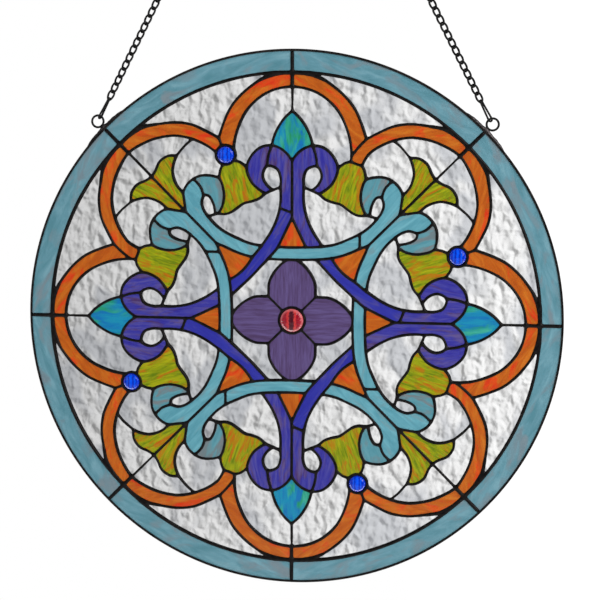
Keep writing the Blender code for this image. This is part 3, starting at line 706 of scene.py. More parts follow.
@dataclass(frozen=True)
class CastGem(Finish):
    """Cast glass of a gem, with upright stripes of painted highlight and shade and a painted highlight of one
    tone round its edge.

    Attributes:
        painted_light_bands: Tones of the painted highlight and shade, each with its share of the way from the
            upright axis to the edge.
        edge: Tone of the painted highlight round the edge.
        reach: The gem's radius in millimetres.
        rim_highlight_span: Between which shares of the radius the painted rim highlight begins.
        lump: Size of the stripes' unevenness in millimetres.
        sway: How far a stripe leaves its place, as a share of the radius.
    """

    # Painted highlight and shade in upright stripes, by distance from the upright axis
    painted_light_bands: tuple[tuple[float, Tone], ...]
    # Tone of the painted highlight round the gem's edge
    edge: Tone
    reach: float
    rim_highlight_span: Pair = (0.78, 0.96)
    lump: float = 3.0
    sway: float = 0.07
    see_through: float = 0.35
    roughness: float = 0.08
    gloss: float = 0.1

    def dress(self, graph: Graph) -> None:
        """Builds the stripes of painted highlight and shade and the painted rim highlight."""
        share = 1 / (self.reach * MM)
        scale = {1: (share, share, 0.0)}
        place = graph.add("TexCoord").outputs["Object"]
        flat = graph.add("VectorMath", place, sockets=scale, operation="MULTIPLY").outputs[0]
        lumps = graph.noise(graph.stretched((self.lump,) * 3), 2.0)
        sway = graph.levels(lumps, NOISE_SPAN, (-self.sway, self.sway))
        aside = graph.combined("ABSOLUTE", graph.add("SeparateXYZ", flat).outputs["X"])
        # Stripes of painted highlight and shade
        painted_light_bands = graph.ramp(graph.combined("ADD", aside, sway), self.painted_light_bands)
        far = graph.add("VectorMath", flat, operation="LENGTH").outputs["Value"]
        # The painted rim highlight mixed over the stripes
        graph.surface(graph.mix(graph.levels(far, self.rim_highlight_span), painted_light_bands, self.edge),
                      Transmission_Weight=self.see_through, Roughness=self.roughness, IOR=CAST_GLASS_IOR,
                      Specular_IOR_Level=self.gloss)


@dataclass(frozen=True)
class DarkMetal(Finish):
    """Metal with a black patina, rubbed and uneven.

    Attributes:
        tones: Tones of the patina from the darkest to the most rubbed; on the rim strips the lightest tone is
            partly a painted highlight.
        lump: Size of the unevenness in millimetres.
        relief: Its height in millimetres.
        roughness: The least and the greatest roughness.
    """

    tones: tuple[Tone, Tone]
    lump: float = 4.0
    relief: float = 0.15
    roughness: Pair = (0.28, 0.5)
    metallic: float = 0.85
    gloss: float = 0.5

    def dress(self, graph: Graph) -> None:
        """Builds the patina and its unevenness."""
        lumps = graph.noise(graph.stretched((self.lump,) * 3, scatter=False), 4.0, 0.6)
        graph.link(graph.levels(lumps, NOISE_SPAN, self.roughness), graph.shader.inputs["Roughness"])
        graph.bump(lumps, self.relief, 0.6)
        graph.surface(graph.ramp(lumps, zip((0.35, 0.68), self.tones)), Metallic=self.metallic,
                      Specular_IOR_Level=self.gloss)


BORDER_BLUE = StreakyGlass(
    "border_blue_glass", "light_blue_glass", ((82, 134, 147), (98, 147, 161), (117, 162, 175)),
    ((122, 138, 146), (112, 134, 144)), 0.26, (9.0, 34.0))
STRAP_BLUE = StreakyGlass(
    "strap_blue_glass", "light_blue_glass", ((84, 150, 166), (98, 163, 178), (112, 176, 190)),
    ((120, 158, 166), (108, 150, 160)), 0.2, (4.0, 30.0))
HOOK_GREY_BLUE = StreakyGlass(
    "hook_grey_blue_glass", "light_blue_glass", ((80, 142, 156), (98, 156, 168)),
    ((128, 126, 128), (106, 126, 132)), 0.4, (3.6, 20.0))
ORANGE = StreakyGlass(
    "orange_glass", "orange_glass", ((174, 80, 6), (190, 94, 12), (202, 114, 24)),
    ((212, 48, 6), (216, 72, 12)), 0.26, (5.0, 24.0))
YELLOW_GREEN = StreakyGlass(
    "yellow_green_glass", "yellow_green_glass", ((98, 122, 0), (142, 152, 0), (172, 172, 4)),
    ((190, 94, 0), (170, 128, 0)), 0.38, (2.4, 18.0))
TEAL = StreakyGlass(
    "teal_glass", "teal_glass", ((28, 146, 92), (44, 158, 130), (64, 172, 152)),
    ((4, 112, 178), (16, 142, 176)), 0.75, (5.0, 26.0))
STRAP_VIOLET = StreakyGlass(
    "strap_violet_glass", "purple_glass", ((46, 42, 150), (62, 60, 156), (88, 80, 156)),
    ((76, 48, 92), (94, 82, 142)), 0.34, (3.4, 26.0))
STRAP_BLUE_VIOLET = StreakyGlass(
    "strap_blue_violet_glass", "purple_glass", ((40, 42, 154), (50, 54, 164)),
    ((84, 80, 152), (70, 64, 144)), 0.24, (3.4, 30.0))
PETAL_PURPLE = StreakyGlass(
    "petal_purple_glass", "purple_glass", ((78, 58, 98), (90, 72, 120), (100, 84, 136)), grain=(2.6, 30.0))
CLEAR = ClearGlass("clear_rippled_glass", "clear_glass")
# The gems' stripe tones and edge tones are painted highlight and shade
RUBY = CastGem(
    "ruby_jewel_glass", "ruby_glass",
    ((0.0, (70, 18, 32)), (0.17, (88, 20, 34)), (0.28, (210, 66, 62)), (0.36, (196, 48, 52)),
     (0.5, (140, 10, 34)), (0.8, (158, 18, 42))), (222, 112, 116), 12.0)
COBALT = CastGem(
    "cobalt_nugget_glass", "cobalt_glass",
    ((0.0, (0, 88, 240)), (0.12, (0, 82, 236)), (0.28, (0, 26, 152)), (0.46, (0, 90, 246)),
     (0.66, (0, 30, 164)), (0.82, (0, 68, 226))), (0, 52, 204), 8.6)
SOLDER = DarkMetal("black_patina_solder", "solder", ((20, 18, 18), (36, 33, 32)))
RIM_METAL = DarkMetal("black_channel_metal", "rim_metal", ((20, 19, 19), (48, 45, 44)), 6.0, 0.1)
# The strips' lightest tone is partly rubbed tin and partly a painted highlight
BRACE_METAL = DarkMetal("tinned_strip_metal", "rim_metal", ((34, 31, 32), (92, 86, 87)), 2.6, 0.4)
CHAIN_METAL = DarkMetal(
    "blackened_chain_metal", "chain_metal", ((12, 12, 12), (26, 25, 25)), 2.0, 0.05, (0.45, 0.65), 0.0, 0.15)


class Bench:
    """Puts finished pieces into the scene and ties them to the part."""

    def __init__(self) -> None:
        """Makes the collection for the pieces."""
        self.collection = bpy.data.collections.new("dressed_panel")
        bpy.context.scene.collection.children.link(self.collection)
        self.materials: dict[str, bpy.types.Material] = {}

    def finish(self, finish: Finish) -> bpy.types.Material:
        """The material of a finish, made once."""
        if finish.name not in self.materials:
            self.materials[finish.name] = finish.make()
        return self.materials[finish.name]

    def add(self, name: str, form: Form, finish: Finish, nodes: Iterable[str], place: Matrix | None = None,
            sharp: float = 40.0) -> None:
        """Makes one piece.

        Args:
            name: The piece's name.
            form: Its places, in millimetres in its own frame, and its faces, as place numbers.
            finish: What it is made of.
            nodes: The CAD nodes that it stands for.
            place: Where its own frame lies, in metres.
            sharp: The least angle of a sharp edge, in degrees.
        """
        mesh = bpy.data.meshes.new(name)
        mesh.from_pydata([tuple(value * MM for value in corner) for corner in form[0]], [], form[1])
        mesh.validate()
        mesh.polygons.foreach_set("use_smooth", [True] * len(mesh.polygons))
        mesh.set_sharp_from_angle(angle=math.radians(sharp))
        mesh.materials.append(self.finish(finish))
        piece = bpy.data.objects.new(name, mesh)
        if place is not None:
            piece.matrix_world = place
        self.collection.objects.link(piece)
        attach(piece, "root")
        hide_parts(*nodes)
        log.info("%s: %d faces, %s", name, len(mesh.polygons), finish.name)


def pane_frame(centre: Place, grain: float) -> Matrix:
    """The own frame of a piece of the panel: Y along its grain, Z to the viewer.

    Args:
        centre: The place of its middle in the drawing.
        grain: The grain's direction, in degrees clockwise from upright.

    Returns:
        The frame as a matrix.
    """
    sine, cosine = math.sin(math.radians(grain)), math.cos(math.radians(grain))
    turn = Matrix(((cosine, sine, 0), (0, 0, -1), (-sine, cosine, 0)))
    return Matrix.Translation(in_frame(centre, 0) * MM) @ turn.to_4x4()


@dataclass(frozen=True)
class PaneKind:
    """Panes of one kind, four of each seed.

    Attributes:
        stem: The beginning of their names.
        seeds: A place inside each pane of the first quarter, with its grain in degrees from upright.
        names: What the four quarters are called.
        node: The CAD node's name, with {quarter} and {letter} to be filled in.
        finish: What they are made of.
        turning: Whether the grain turns with the quarter.
        relief: Height of the front's waves in millimetres.
    """

    stem: str
    seeds: tuple[Triple, ...]
    names: tuple[str, ...]
    node: str
    finish: Finish
    turning: bool = True
    relief: float = 0.12


@dataclass
class GlassPanes:
    """The flat panes of glass, each cut to its own outline.

    A pane ends inset from the middle of its leads. Its face is built from places spacing apart, and the waves
    of its front grow over edge_fade beyond its flat_edge.
    """

    inset: float = 0.2
    spacing: float = 3.6
    clear_spacing: float = 2.4
    flat_edge: float = 0.3
    edge_fade: float = 2.1
    wave: Pair = (6.5, 13.0)
    field_node: str = "clear_field_and_straps"

    def kinds(self) -> list[PaneKind]:
        """All the kinds of pane of the pattern."""
        field_node = self.field_node
        border = ((*on_circle(BORDER_MIDDLE, 100.0), 112.5), (*on_circle(BORDER_MIDDLE, 240.0), 157.5))
        clear = ((32, 204, 0), (-32, 204, 0), (141, 174, 0), (174, 141, 0), (99, 167, 0), (167, 99, 0),
                 (42, 104, 0), (-42, 104, 0), (21, 147, 0), (-21, 147, 0), (89, 122, 0), (122, 89, 0),
                 (36, 38, 0))
        return [
            PaneKind("petal_glass", ((0, 40, 0),), SIDES, "petal_{quarter}", PETAL_PURPLE),
            PaneKind("bud_glass", ((0, 190, 0),), SIDES, "bud_{quarter}", TEAL),
            PaneKind("leaf_glass", ((133, 155, 28), (155, 133, 62)), CORNERS, "leaf_pair_{quarter}",
                     YELLOW_GREEN),
            PaneKind("bud_arc_glass", ((-30, 244, 55), (30, 244, 125)), SIDES,
                     "orange_arc_of_bud_{quarter}", ORANGE),
            PaneKind("leaf_arc_glass", ((120, 198, 80), (198, 120, 10)), CORNERS,
                     "orange_arc_of_leaves_{quarter}", ORANGE),
            PaneKind("bud_corner_glass", ((0, 85, 0),), SIDES, "orange_corner_below_bud_{quarter}", ORANGE),
            PaneKind("leaf_corner_glass", ((62, 62, 45),), CORNERS,
                     "orange_corner_below_leaves_{quarter}", ORANGE),
            PaneKind("bell_glass", ((-58, 145, 163), (58, 145, 197)), SIDES,
                     "bell_flower_{quarter}_{letter}", YELLOW_GREEN),
            PaneKind("border_glass", border, SIDES, "blue_border", BORDER_BLUE),
            PaneKind("crossing_strap_glass", ((27, 73, 90),), SIDES, field_node, STRAP_BLUE),
            PaneKind("hook_strap_glass", ((104, 130, 40), (130, 104, 50)), CORNERS, field_node, STRAP_BLUE),
            PaneKind("hook_end_glass", ((82, 139, 20), (139, 82, 70)), CORNERS, field_node, HOOK_GREY_BLUE),
            PaneKind("stem_glass", ((-6, 150, 0), (6, 150, 0)), SIDES, field_node, STRAP_VIOLET),
            PaneKind("scroll_glass", ((-38, 160, 10), (38, 160, -10)), SIDES, field_node, STRAP_VIOLET),
            PaneKind("over_strap_glass", ((-25, 74, 35),), SIDES, field_node, STRAP_BLUE_VIOLET),
            PaneKind("outer_clear_glass", ((-100, 220, 0), (100, 220, 0)), SIDES,
                     "outer_clear_pane_{quarter}_{letter}", CLEAR, False, 0.3),
            PaneKind("clear_glass", clear, SIDES, field_node, CLEAR, False, 0.3),
        ]

    def build(self, bench: Bench, drawing: LeadDrawing) -> set[int]:
        """Builds every pane.

        Args:
            bench: Where the pieces go.
            drawing: The drawn leads.

        Returns:
            The numbers of the panes that were built.
        """
        used: set[int] = set()
        for kind in self.kinds():
            for letter, (x, z, grain) in zip(ascii_lowercase, kind.seeds):
                for turns, quarter in enumerate(kind.names):
                    number = drawing.pane_at(quarter_turn((x, z), turns))
                    if number in used:
                        raise ValueError(f"{kind.stem} {x} {z}: this pane is already built")
                    used.add(number)
                    angle = grain + 90 * turns * kind.turning
                    name = f"{kind.stem}_{quarter}" + (f"_{letter}" if len(kind.seeds) > 1 else "")
                    node = kind.node.format(quarter=quarter, letter=letter)
                    self.build_pane(bench, name, drawing.panes[number], angle, kind, node)
        return used

    def build_pane(self, bench: Bench, name: str, loop: list[Place], grain: float, kind: PaneKind,
                   node: str) -> None:
        """Builds one pane: a wavy front, a flat back and its cut edge.

        Args:
            bench: Where the piece goes.
            name: The piece's name.
            loop: The middle of the leads round the pane, counter-clockwise.
            grain: The grain's direction, in degrees clockwise from upright.
            kind: The kind of pane.
            node: The CAD node that it stands for.
        """
        outline = drawn_in(loop, self.inset)
        centre = tuple(np.array(outline).mean(axis=0))
        sine, cosine = math.sin(math.radians(grain)), math.cos(math.radians(grain))
        local = np.array([((x - centre[0]) * cosine - (z - centre[1]) * sine,
                           (x - centre[0]) * sine + (z - centre[1]) * cosine) for x, z in outline])
        spacing = self.clear_spacing if kind.finish is CLEAR else self.spacing
        low, high = local.min(axis=0), local.max(axis=0)
        grid = np.stack(np.meshgrid(np.arange(low[0], high[0], spacing), np.arange(low[1], high[1], spacing)),
                        axis=-1).reshape(-1, 2)
        grid = grid[inside(grid, local)]
        grid = grid[distance(grid, local) > 0.6 * spacing]
        ring = list(range(len(local)))
        found = delaunay_2d_cdt([Vector(p) for p in (*local, *grid)], [], [ring], 1, 1e-6)
        places = np.array([(p.x, p.y) for p in found[0]])
        rise = self.front(places, local, kind.relief, centre)
        half = GLASS_THICKNESS / 2
        total = len(places)
        front = [(x, y, half + up) for (x, y), up in zip(places, rise)]
        back = [(x, y, -half) for x, y in places]
        faces = [tuple(face) for face in found[2]]
        faces += [tuple(i + total for i in reversed(face)) for face in found[2]]
        where = {given: i for i, origin in enumerate(found[3]) for given in origin}
        rim = [where[i] for i in ring]
        faces += [(b, a, a + total, b + total) for a, b in zip(rim, rim[1:] + rim[:1])]
        bench.add(name, (front + back, faces), kind.finish, [node], pane_frame(centre, grain))

    def front(self, places: np.ndarray, outline: np.ndarray, relief: float, centre: Place) -> np.ndarray:
        """The waves of a pane's front, which die away under the beads.

        Args:
            places: Places of the front, one in each row.
            outline: The pane's outline.
            relief: The waves' height.
            centre: The pane's centre, which gives each pane waves of its own.

        Returns:
            How far each place stands out.
        """
        fade = np.clip((distance(places, outline) - self.flat_edge) / self.edge_fade, 0, 1)
        shift = Vector((centre[0] * 0.37, centre[1] * 0.53, 0))
        width, length = self.wave
        waves = [noise.noise(Vector((x / width, y / length, 0)) + shift) for x, y in places]
        return relief * fade * np.array(waves)


@dataclass
class SolderSeams:
    """The solder beads on both faces, rounded and run together where leads meet.

    Attributes:
        cell: The side of a cell of the grid on which the beads are worked out.
        height: How high the widest bead stands.
        spread: How far a lead draws the solder.
        full: Half the width of the widest bead.
        glass_face: How far the foot of the beads lies from the middle of the glass.
        lift: How far the beads' edge stands above their foot.
        sample: The way between two samples of a lead.
        unevenness: How much the squared half width changes along a lead.
        swell: How much it may grow where leads meet.
        snap: How near the beads' edge a corner of the grid is moved onto it, in cells.
        axis: The places of the grid along X and Z.
    """

    cell: float = 1.0
    height: float = 1.3
    spread: float = 1.45
    full: float = Seam.SPOKE.value
    glass_face: float = GLASS_THICKNESS / 2 + 0.02
    lift: float = 0.28
    sample: float = 0.5
    unevenness: float = 0.16
    swell: float = 0.7
    snap: float = 0.36
    axis: np.ndarray = field(init=False)

    def build(self, bench: Bench, drawing: LeadDrawing) -> None:
        """Builds the beads of the front and the back."""
        places, heights, faces = self.surface(self.depth_inside(drawing))
        border = self.border(faces)
        for side, facing in (("front", 1), ("back", -1)):
            edge = self.glass_face + self.lift
            top = [in_frame(p, facing * (edge + h)) for p, h in zip(places, heights)]
            low = {a: len(top) + i for i, a in enumerate(dict.fromkeys(a for a, _ in border))}
            skirt = [in_frame(places[a], facing * self.glass_face) for a in low]
            walls = [(b, a, low[a], low[b]) for a, b in border]
            turned = [face[::facing] for face in faces + walls]
            bench.add(f"solder_lines_{side}", (top + skirt, turned), SOLDER, ["solder_lines"], sharp=75)

    def depth_inside(self, drawing: LeadDrawing) -> np.ndarray:
        """For each place of a grid over the round, the squared half width less the squared distance.

        The leads' influence adds up, so the beads swell and round off the corners where leads meet.

        Args:
            drawing: The drawn leads.

        Returns:
            The grid's values; they are above 0 inside a bead.
        """
        reach = RIM_RADIUS + 2
        self.axis = np.arange(-math.ceil(reach / self.cell) + 0.5, math.ceil(reach / self.cell)) * self.cell
        size = len(self.axis)
        total = np.zeros((size, size))
        samples, weights = self.samples(drawing)
        cells = np.floor((samples - self.axis[0]) / self.cell).astype(int)
        span = math.ceil(3 * self.spread / self.cell)
        for dx in range(-span, span + 2):
            for dz in range(-span, span + 2):
                ix, iz = cells[:, 0] + dx, cells[:, 1] + dz
                good = (ix >= 0) & (ix < size) & (iz >= 0) & (iz < size)
                far = ((self.axis[np.clip(ix, 0, size - 1)] - samples[:, 0]) ** 2
                       + (self.axis[np.clip(iz, 0, size - 1)] - samples[:, 1]) ** 2)
                value = weights * np.exp(-far / self.spread ** 2)
                np.add.at(total, (ix[good], iz[good]), value[good])
        lone = math.sqrt(math.pi) * self.spread
        square = -self.spread ** 2 * np.log(np.maximum(total, 1e-12) / lone)
        x, z = np.meshgrid(self.axis, self.axis, indexing="ij")
        uneven = self.unevenness * (np.sin(x / 5.3 + 1.7 * np.sin(z / 9.1))
                                    + np.sin(z / 4.7 + 1.3 * np.sin(x / 11.3)))
        within = self.full ** 2 - square + uneven
        return np.minimum(within, 2 * self.full * (BEAD_EDGE_RADIUS - np.hypot(x, z)))

    def fillings(self) -> Iterable[tuple[Place, Place]]:
        """Stretches of solder that round the narrow corners where the orange arcs leave the border."""
        crown = smooth([(0, 255.0), (10, 254.5), (20, 252.6), (33.6, 248.2)])
        lobe = smooth([(141.8, 202.0), (153, 199.4), (163.5, 194.2), (172.5, 188.0), (180.0, 180.6)])
        for line in (crown, lobe, [over_top(p) for p in crown], [over_diagonal(p) for p in lobe]):
            for turns in range(4):
                turned = [quarter_turn(p, turns) for p in line]
                yield from zip(turned, turned[1:])

    def samples(self, drawing: LeadDrawing) -> tuple[np.ndarray, np.ndarray]:
        """Closely spaced places along every lead, and how strongly each draws the solder.

        Args:
            drawing: The drawn leads.

        Returns:
            The places, one in each row, and their weights.
        """
        places, weights = [], []
        filled = [(stretch, Seam.THIN) for stretch in self.fillings()]
        for (a, b), seam in (*drawing.seams.items(), *filled):
            if seam is Seam.EDGE:
                continue
            length = math.dist(a, b)
            count = max(1, round(length / self.sample))
            pull = math.exp((seam.value ** 2 - self.full ** 2) / self.spread ** 2)
            for step in range(count):
                t = (step + 0.5) / count
                x, z = a[0] + (b[0] - a[0]) * t, a[1] + (b[1] - a[1]) * t
                places.append((x, z))
                weights.append(pull * length / count)
        return np.array(places), np.array(weights)

    def surface(self, within: np.ndarray) -> tuple[list[Place], list[float], list[Face]]:
        """The beads' outer surface as a mesh.

        Args:
            within: The grid of depth_inside.

        Returns:
            The places, how high the solder stands at each, and the faces.
        """
        slope_x, slope_z = np.gradient(within, self.cell)
        steep = np.maximum(np.hypot(slope_x, slope_z), 1e-6)
        on_edge = np.abs(within) < self.snap * self.cell * steep
        kept = (within > 0) | on_edge
        radius = (self.full ** 2 + self.height ** 2) / (2 * self.height)
        foot = radius ** 2 - self.full ** 2
        swollen = np.clip(within, 0, self.full ** 2 + self.swell)
        rise = np.sqrt(foot + swollen) - (radius - self.height)
        rise[on_edge] = 0
        number: dict[object, int] = {}
        places: list[Place] = []
        heights: list[float] = []

        def corner(i: int, j: int) -> int:
            """The number of a grid place, moved onto the bead's edge when it lies close to it."""
            if (i, j) not in number:
                x, z = self.axis[i], self.axis[j]
                if on_edge[i, j]:
                    step = within[i, j] / steep[i, j] ** 2
                    x, z = x - slope_x[i, j] * step, z - slope_z[i, j] * step
                number[(i, j)] = len(places)
                places.append((x, z))
                heights.append(rise[i, j])
            return number[(i, j)]

        def crossing(i: int, j: int, k: int, m: int) -> int:
            """The number of the place where the bead's edge crosses a side of the grid."""
            name = (min((i, j), (k, m)), max((i, j), (k, m)))
            if name not in number:
                t = within[i, j] / (within[i, j] - within[k, m])
                number[name] = len(places)
                places.append((self.axis[i] + (self.axis[k] - self.axis[i]) * t,
                               self.axis[j] + (self.axis[m] - self.axis[j]) * t))
                heights.append(0.0)
            return number[name]

        faces = []
        some = kept[:-1, :-1] | kept[1:, :-1] | kept[1:, 1:] | kept[:-1, 1:]
        for i, j in zip(*np.nonzero(some)):
            ring = ((i, j), (i + 1, j), (i + 1, j + 1), (i, j + 1))
            face = []
            for (a, b), (c, d) in zip(ring, ring[1:] + ring[:1]):
                if kept[a, b]:
                    face.append(corner(a, b))
                if kept[a, b] != kept[c, d]:
                    inner, outer = ((a, b), (c, d)) if kept[a, b] else ((c, d), (a, b))
                    if not on_edge[inner]:
                        face.append(crossing(*inner, *outer))
            if len(face) > 2 and any(heights[n] > 0 for n in face):
                faces.append(tuple(face))
        return places, heights, faces

    def border(self, faces: list[Face]) -> list[tuple[int, int]]:
        """The sides of faces that no other face shares."""
        sides = {(a, b) for face in faces for a, b in zip(face, face[1:] + face[:1])}
        return [(a, b) for a, b in sides if (b, a) not in sides]


def turned_form(profile: list[Place], steps: int, closed: bool = False,
                ripple: Callable[[float, float], float] | None = None) -> Form:
    """Turns a profile about the Z axis.

    Args:
        profile: Its (radius, height) pairs; a radius of 0 becomes one place.
        steps: How many steps the turn has.
        closed: Whether the profile's end joins its start.
        ripple: What is added to the height at a radius and an angle.

    Returns:
        The places and the faces.
    """
    places, rows, faces = [], [], []
    for radius, height in profile:
        row = []
        for step in range(1 if radius == 0 else steps):
            angle = math.tau * step / steps
            up = height + (ripple(radius, angle) if ripple and height > 0 else 0)
            row.append(len(places))
            places.append((radius * math.cos(angle), radius * math.sin(angle), up))
        rows.append(row * steps if radius == 0 else row)
    for low, high in zip(rows, rows[1:] + rows[:closed]):
        for i in range(steps):
            k = (i + 1) % steps
            face = tuple(dict.fromkeys((low[i], high[i], high[k], low[k])))
            if len(face) > 2:
                faces.append(face[::-1])
    return places, faces


@dataclass(frozen=True)
class Dome:
    """A gem's dome: its seam's radius, how high its crown and its shoulder stand, and how round it is."""

    seam: float
    rise: float
    shoulder: float
    power: float


@dataclass
class Gems:
    """The ribbed red jewel in the centre and the four blue nuggets.

    The beads reach over a gem by bead from the middle of its seam, and it ends grip from there. The jewel has
    a number of ribs of a height within rib_span, and round its crown a groove, given by its depth, its middle
    and its width. Spans, fades and the groove's place are shares of the radius.
    """

    bead: float = 1.85
    grip: float = 0.3
    jewel: Dome = Dome(JEWEL_SEAM_RADIUS, 4.95, 1.2, 0.7)
    jewel_ribs: tuple[int, float] = (18, 0.2)
    rib_span: Pair = (0.3, 1.02)
    rib_fade: Pair = (0.25, 0.15)
    jewel_groove: Triple = (0.35, 0.36, 0.07)
    nugget: Dome = Dome(NUGGET_SEAM_RADIUS, 3.95, 0.9, 0.55)
    nugget_lump: float = 0.18
    rings: int = 14
    steps: int = 72

    def profile(self, dome: Dome) -> list[Place]:
        """The section of a gem from its crown over its edge, under the beads, to the middle of its back.

        Args:
            dome: The gem's dome.

        Returns:
            The section's (radius, height) pairs.
        """
        face = GLASS_THICKNESS / 2
        opening, edge = dome.seam - self.bead, dome.seam - self.grip
        crown = []
        for i in range(self.rings + 1):
            t = math.sin(math.pi / 2 * i / self.rings)
            up = dome.shoulder + (dome.rise - dome.shoulder) * max(0.0, 1 - t * t) ** dome.power
            crown.append((opening * t, face + up))
        return crown + [(opening, face), (edge, face), (edge, -face), (0.0, -face)]

    def ribs(self, radius: float, angle: float) -> float:
        """The jewel's pressed ribs, which fan out from its smooth crown.

        Args:
            radius: How far a place lies from the jewel's middle.
            angle: Its angle.

        Returns:
            What is added to its height.
        """
        share = radius / (self.jewel.seam - self.bead)
        grown = (share - self.rib_span[0]) / self.rib_fade[0]
        left = (self.rib_span[1] - share) / self.rib_fade[1]
        fade = max(0.0, min(1.0, grown)) * max(0.0, min(1.0, left))
        count, height = self.jewel_ribs
        depth, middle, width = self.jewel_groove
        groove = depth * math.exp(-((share - middle) / width) ** 2)
        return height * fade * math.cos(count * angle) - groove

    def lump(self, radius: float, angle: float, number: int) -> float:
        """The slight unevenness of a nugget that was melted free."""
        share = min(1.0, radius / (self.nugget.seam - self.bead))
        return self.nugget_lump * share * (1 - share) * 4 * math.cos(2 * angle + 1.3 * number)

    def build(self, bench: Bench, drawing: LeadDrawing) -> set[int]:
        """Builds the gems.

        Args:
            bench: Where the pieces go.
            drawing: The drawn leads.

        Returns:
            The numbers of the gems' panes.
        """
        form = turned_form(self.profile(self.jewel), self.steps, ripple=self.ribs)
        bench.add("centre_jewel_glass", form, RUBY, ["centre_jewel"], pane_frame(JEWEL_CENTRE, 0))
        used = {drawing.pane_at(JEWEL_CENTRE)}
        section = self.profile(self.nugget)
        for turns, corner in enumerate(CORNERS):
            centre = quarter_turn(over_diagonal(NUGGET_CENTRE), turns)
            used.add(drawing.pane_at(centre))
            form = turned_form(section, self.steps, ripple=partial(self.lump, number=turns))
            bench.add(f"nugget_glass_{corner}", form, COBALT, [f"nugget_{corner}"], pane_frame(centre, 0))
        return used


@dataclass
class RimChannel:
    """The thin black channel that grips the glass's edge; slot is half the width of its slot."""

    lip: float = RIM_RADIUS - BEAD_EDGE_RADIUS
    wall: float = 0.8
    slot: float = GLASS_THICKNESS / 2 + 0.3
    rounding: float = 0.45
    lip_rounding: float = 0.2
    corner_steps: int = 4
    steps: int = 288

    def section(self) -> list[Place]:
        """The channel's section, with its outer corners and lips rounded."""
        face = self.slot + self.wall
        inner, floor = RIM_RADIUS - self.lip, RIM_RADIUS - self.wall
        half = []
        for step in range(self.corner_steps + 1):
            angle = math.pi / 2 * step / self.corner_steps
            half.append((RIM_RADIUS - self.rounding * (1 - math.cos(angle)),
                         face - self.rounding * (1 - math.sin(angle))))
        half += [(inner + self.lip_rounding, face), (inner, face - self.lip_rounding), (inner, self.slot),
                 (floor, self.slot)]
        return half + [(radius, -height) for radius, height in reversed(half)]

    def build(self, bench: Bench) -> None:
        """Builds the channel."""
        form = turned_form(self.section(), self.steps, closed=True)
        bench.add("rim_channel", form, RIM_METAL, ["rim"], pane_frame(JEWEL_CENTRE, 0), sharp=50)


def ringed_faces(rings: int, sides: int, closed: bool) -> list[Face]:
    """Faces between rings of places that follow each other.

    Args:
        rings: How many rings there are.
        sides: How many places a ring has.
        closed: Whether the last ring joins the first one; if not, both ends get a lid.

    Returns:
        The faces.
    """
    faces = []
    for i in range(rings if closed else rings - 1):
        a, b = i * sides, (i + 1) % rings * sides
        faces += [(a + k, a + (k + 1) % sides, b + (k + 1) % sides, b + k) for k in range(sides)]
    if not closed:
        faces += [tuple(range(sides))[::-1], tuple((rings - 1) * sides + k for k in range(sides))]
    return faces


def wire_loop(path: list[Vector], radius: float, sides: int) -> Form:
    """A round wire along a closed path.

    Args:
        path: The places along the wire's middle.
        radius: The wire's radius.
        sides: How many sides the wire has.

    Returns:
        The places and the faces.
    """
    ahead, behind = path[1:] + path[:1], path[-1:] + path[:-1]
    tangents = [(b - a).normalized() for a, b in zip(behind, ahead)]
    across = tangents[0].orthogonal().normalized()
    frames = []
    for tangent in tangents:
        across = (across - tangent * across.dot(tangent)).normalized()
        frames.append((across.copy(), tangent.cross(across)))
    last = (frames[-1][0] - tangents[0] * frames[-1][0].dot(tangents[0])).normalized()
    twist = math.atan2(last.dot(frames[0][1]), last.dot(frames[0][0]))
    places = []
    for i, (place, (u, v)) in enumerate(zip(path, frames)):
        for k in range(sides):
            angle = math.tau * k / sides - twist * i / len(path)
            places.append(place + u * (radius * math.cos(angle)) + v * (radius * math.sin(angle)))
    return places, ringed_faces(len(path), sides, True)


@dataclass
class Chain:
    """The curb chain: two straight runs up to its middle link, which rests on a hook.

    A link's sizes are those of its wire's middle, twist is how far its sides leave its plane, and wire is the
    wire's radius.
    """

    half_length: float = 5.5
    half_width: float = 2.75
    twist: float = 1.2
    wire: float = 1.1
    pitch: float = 8.8
    steps: int = 24
    sides: int = 8

    def middle(self) -> Vector:
        """The centre of the middle link; its wire's highest place is the origin."""
        return Vector((0, 0, -self.half_width - self.wire))

    def link(self, centre: Vector, along: Vector, across: Vector) -> Form:
        """One link, twisted as a curb link is so that its neighbours lie flat with it.

        Args:
            centre: Its centre.
            along: The direction of its length.
            across: The direction of its width.

        Returns:
            The places and the faces.
        """
        out = along.cross(across)
        path = []
        for t in (math.tau * step / self.steps for step in range(self.steps)):
            path.append(centre + along * (self.half_length * math.cos(t))
                        + across * (self.half_width * math.sin(t)) + out * (self.twist * math.sin(2 * t)))
        return wire_loop(path, self.wire, self.sides)

    def run(self, low: Vector, side: int) -> Form:
        """The links of one run.

        Args:
            low: The middle of the hook's wire that the lowest link hangs on.
            side: -1 for the left run and 1 for the right one.

        Returns:
            The places and the faces.
        """
        high = self.middle() + Vector((side * self.half_length, 0, 0))
        along = (high - low).normalized()
        across = along.cross(Vector((0, 1, 0))).normalized()
        lap = self.half_length - 2 * self.wire
        first, last = low + along * lap, high - along * lap
        count = round((last - first).length / self.pitch) + 1
        places, faces = [], []
        for i in range(count):
            more, sides = self.link(first.lerp(last, i / (count - 1)), along, across)
            faces += [tuple(n + len(places) for n in face) for face in sides]
            places += more
        return places, faces

    def build(self, bench: Bench, hooks: dict[str, Vector]) -> None:
        """Builds both runs and the middle link.

        Args:
            bench: Where the pieces go.
            hooks: The middle of each hook's upper bend, by side.
        """
        forms = {f"chain_run_{side}": self.run(hooks[side], sign) for side, sign in RING_SIDES.items()}
        forms["chain_middle_link"] = self.link(self.middle(), Vector((1, 0, 0)), Vector((0, 0, 1)))
        for name, form in forms.items():
            bench.add(name, form, CHAIN_METAL, ["chain"], sharp=WIRE_SHARP)


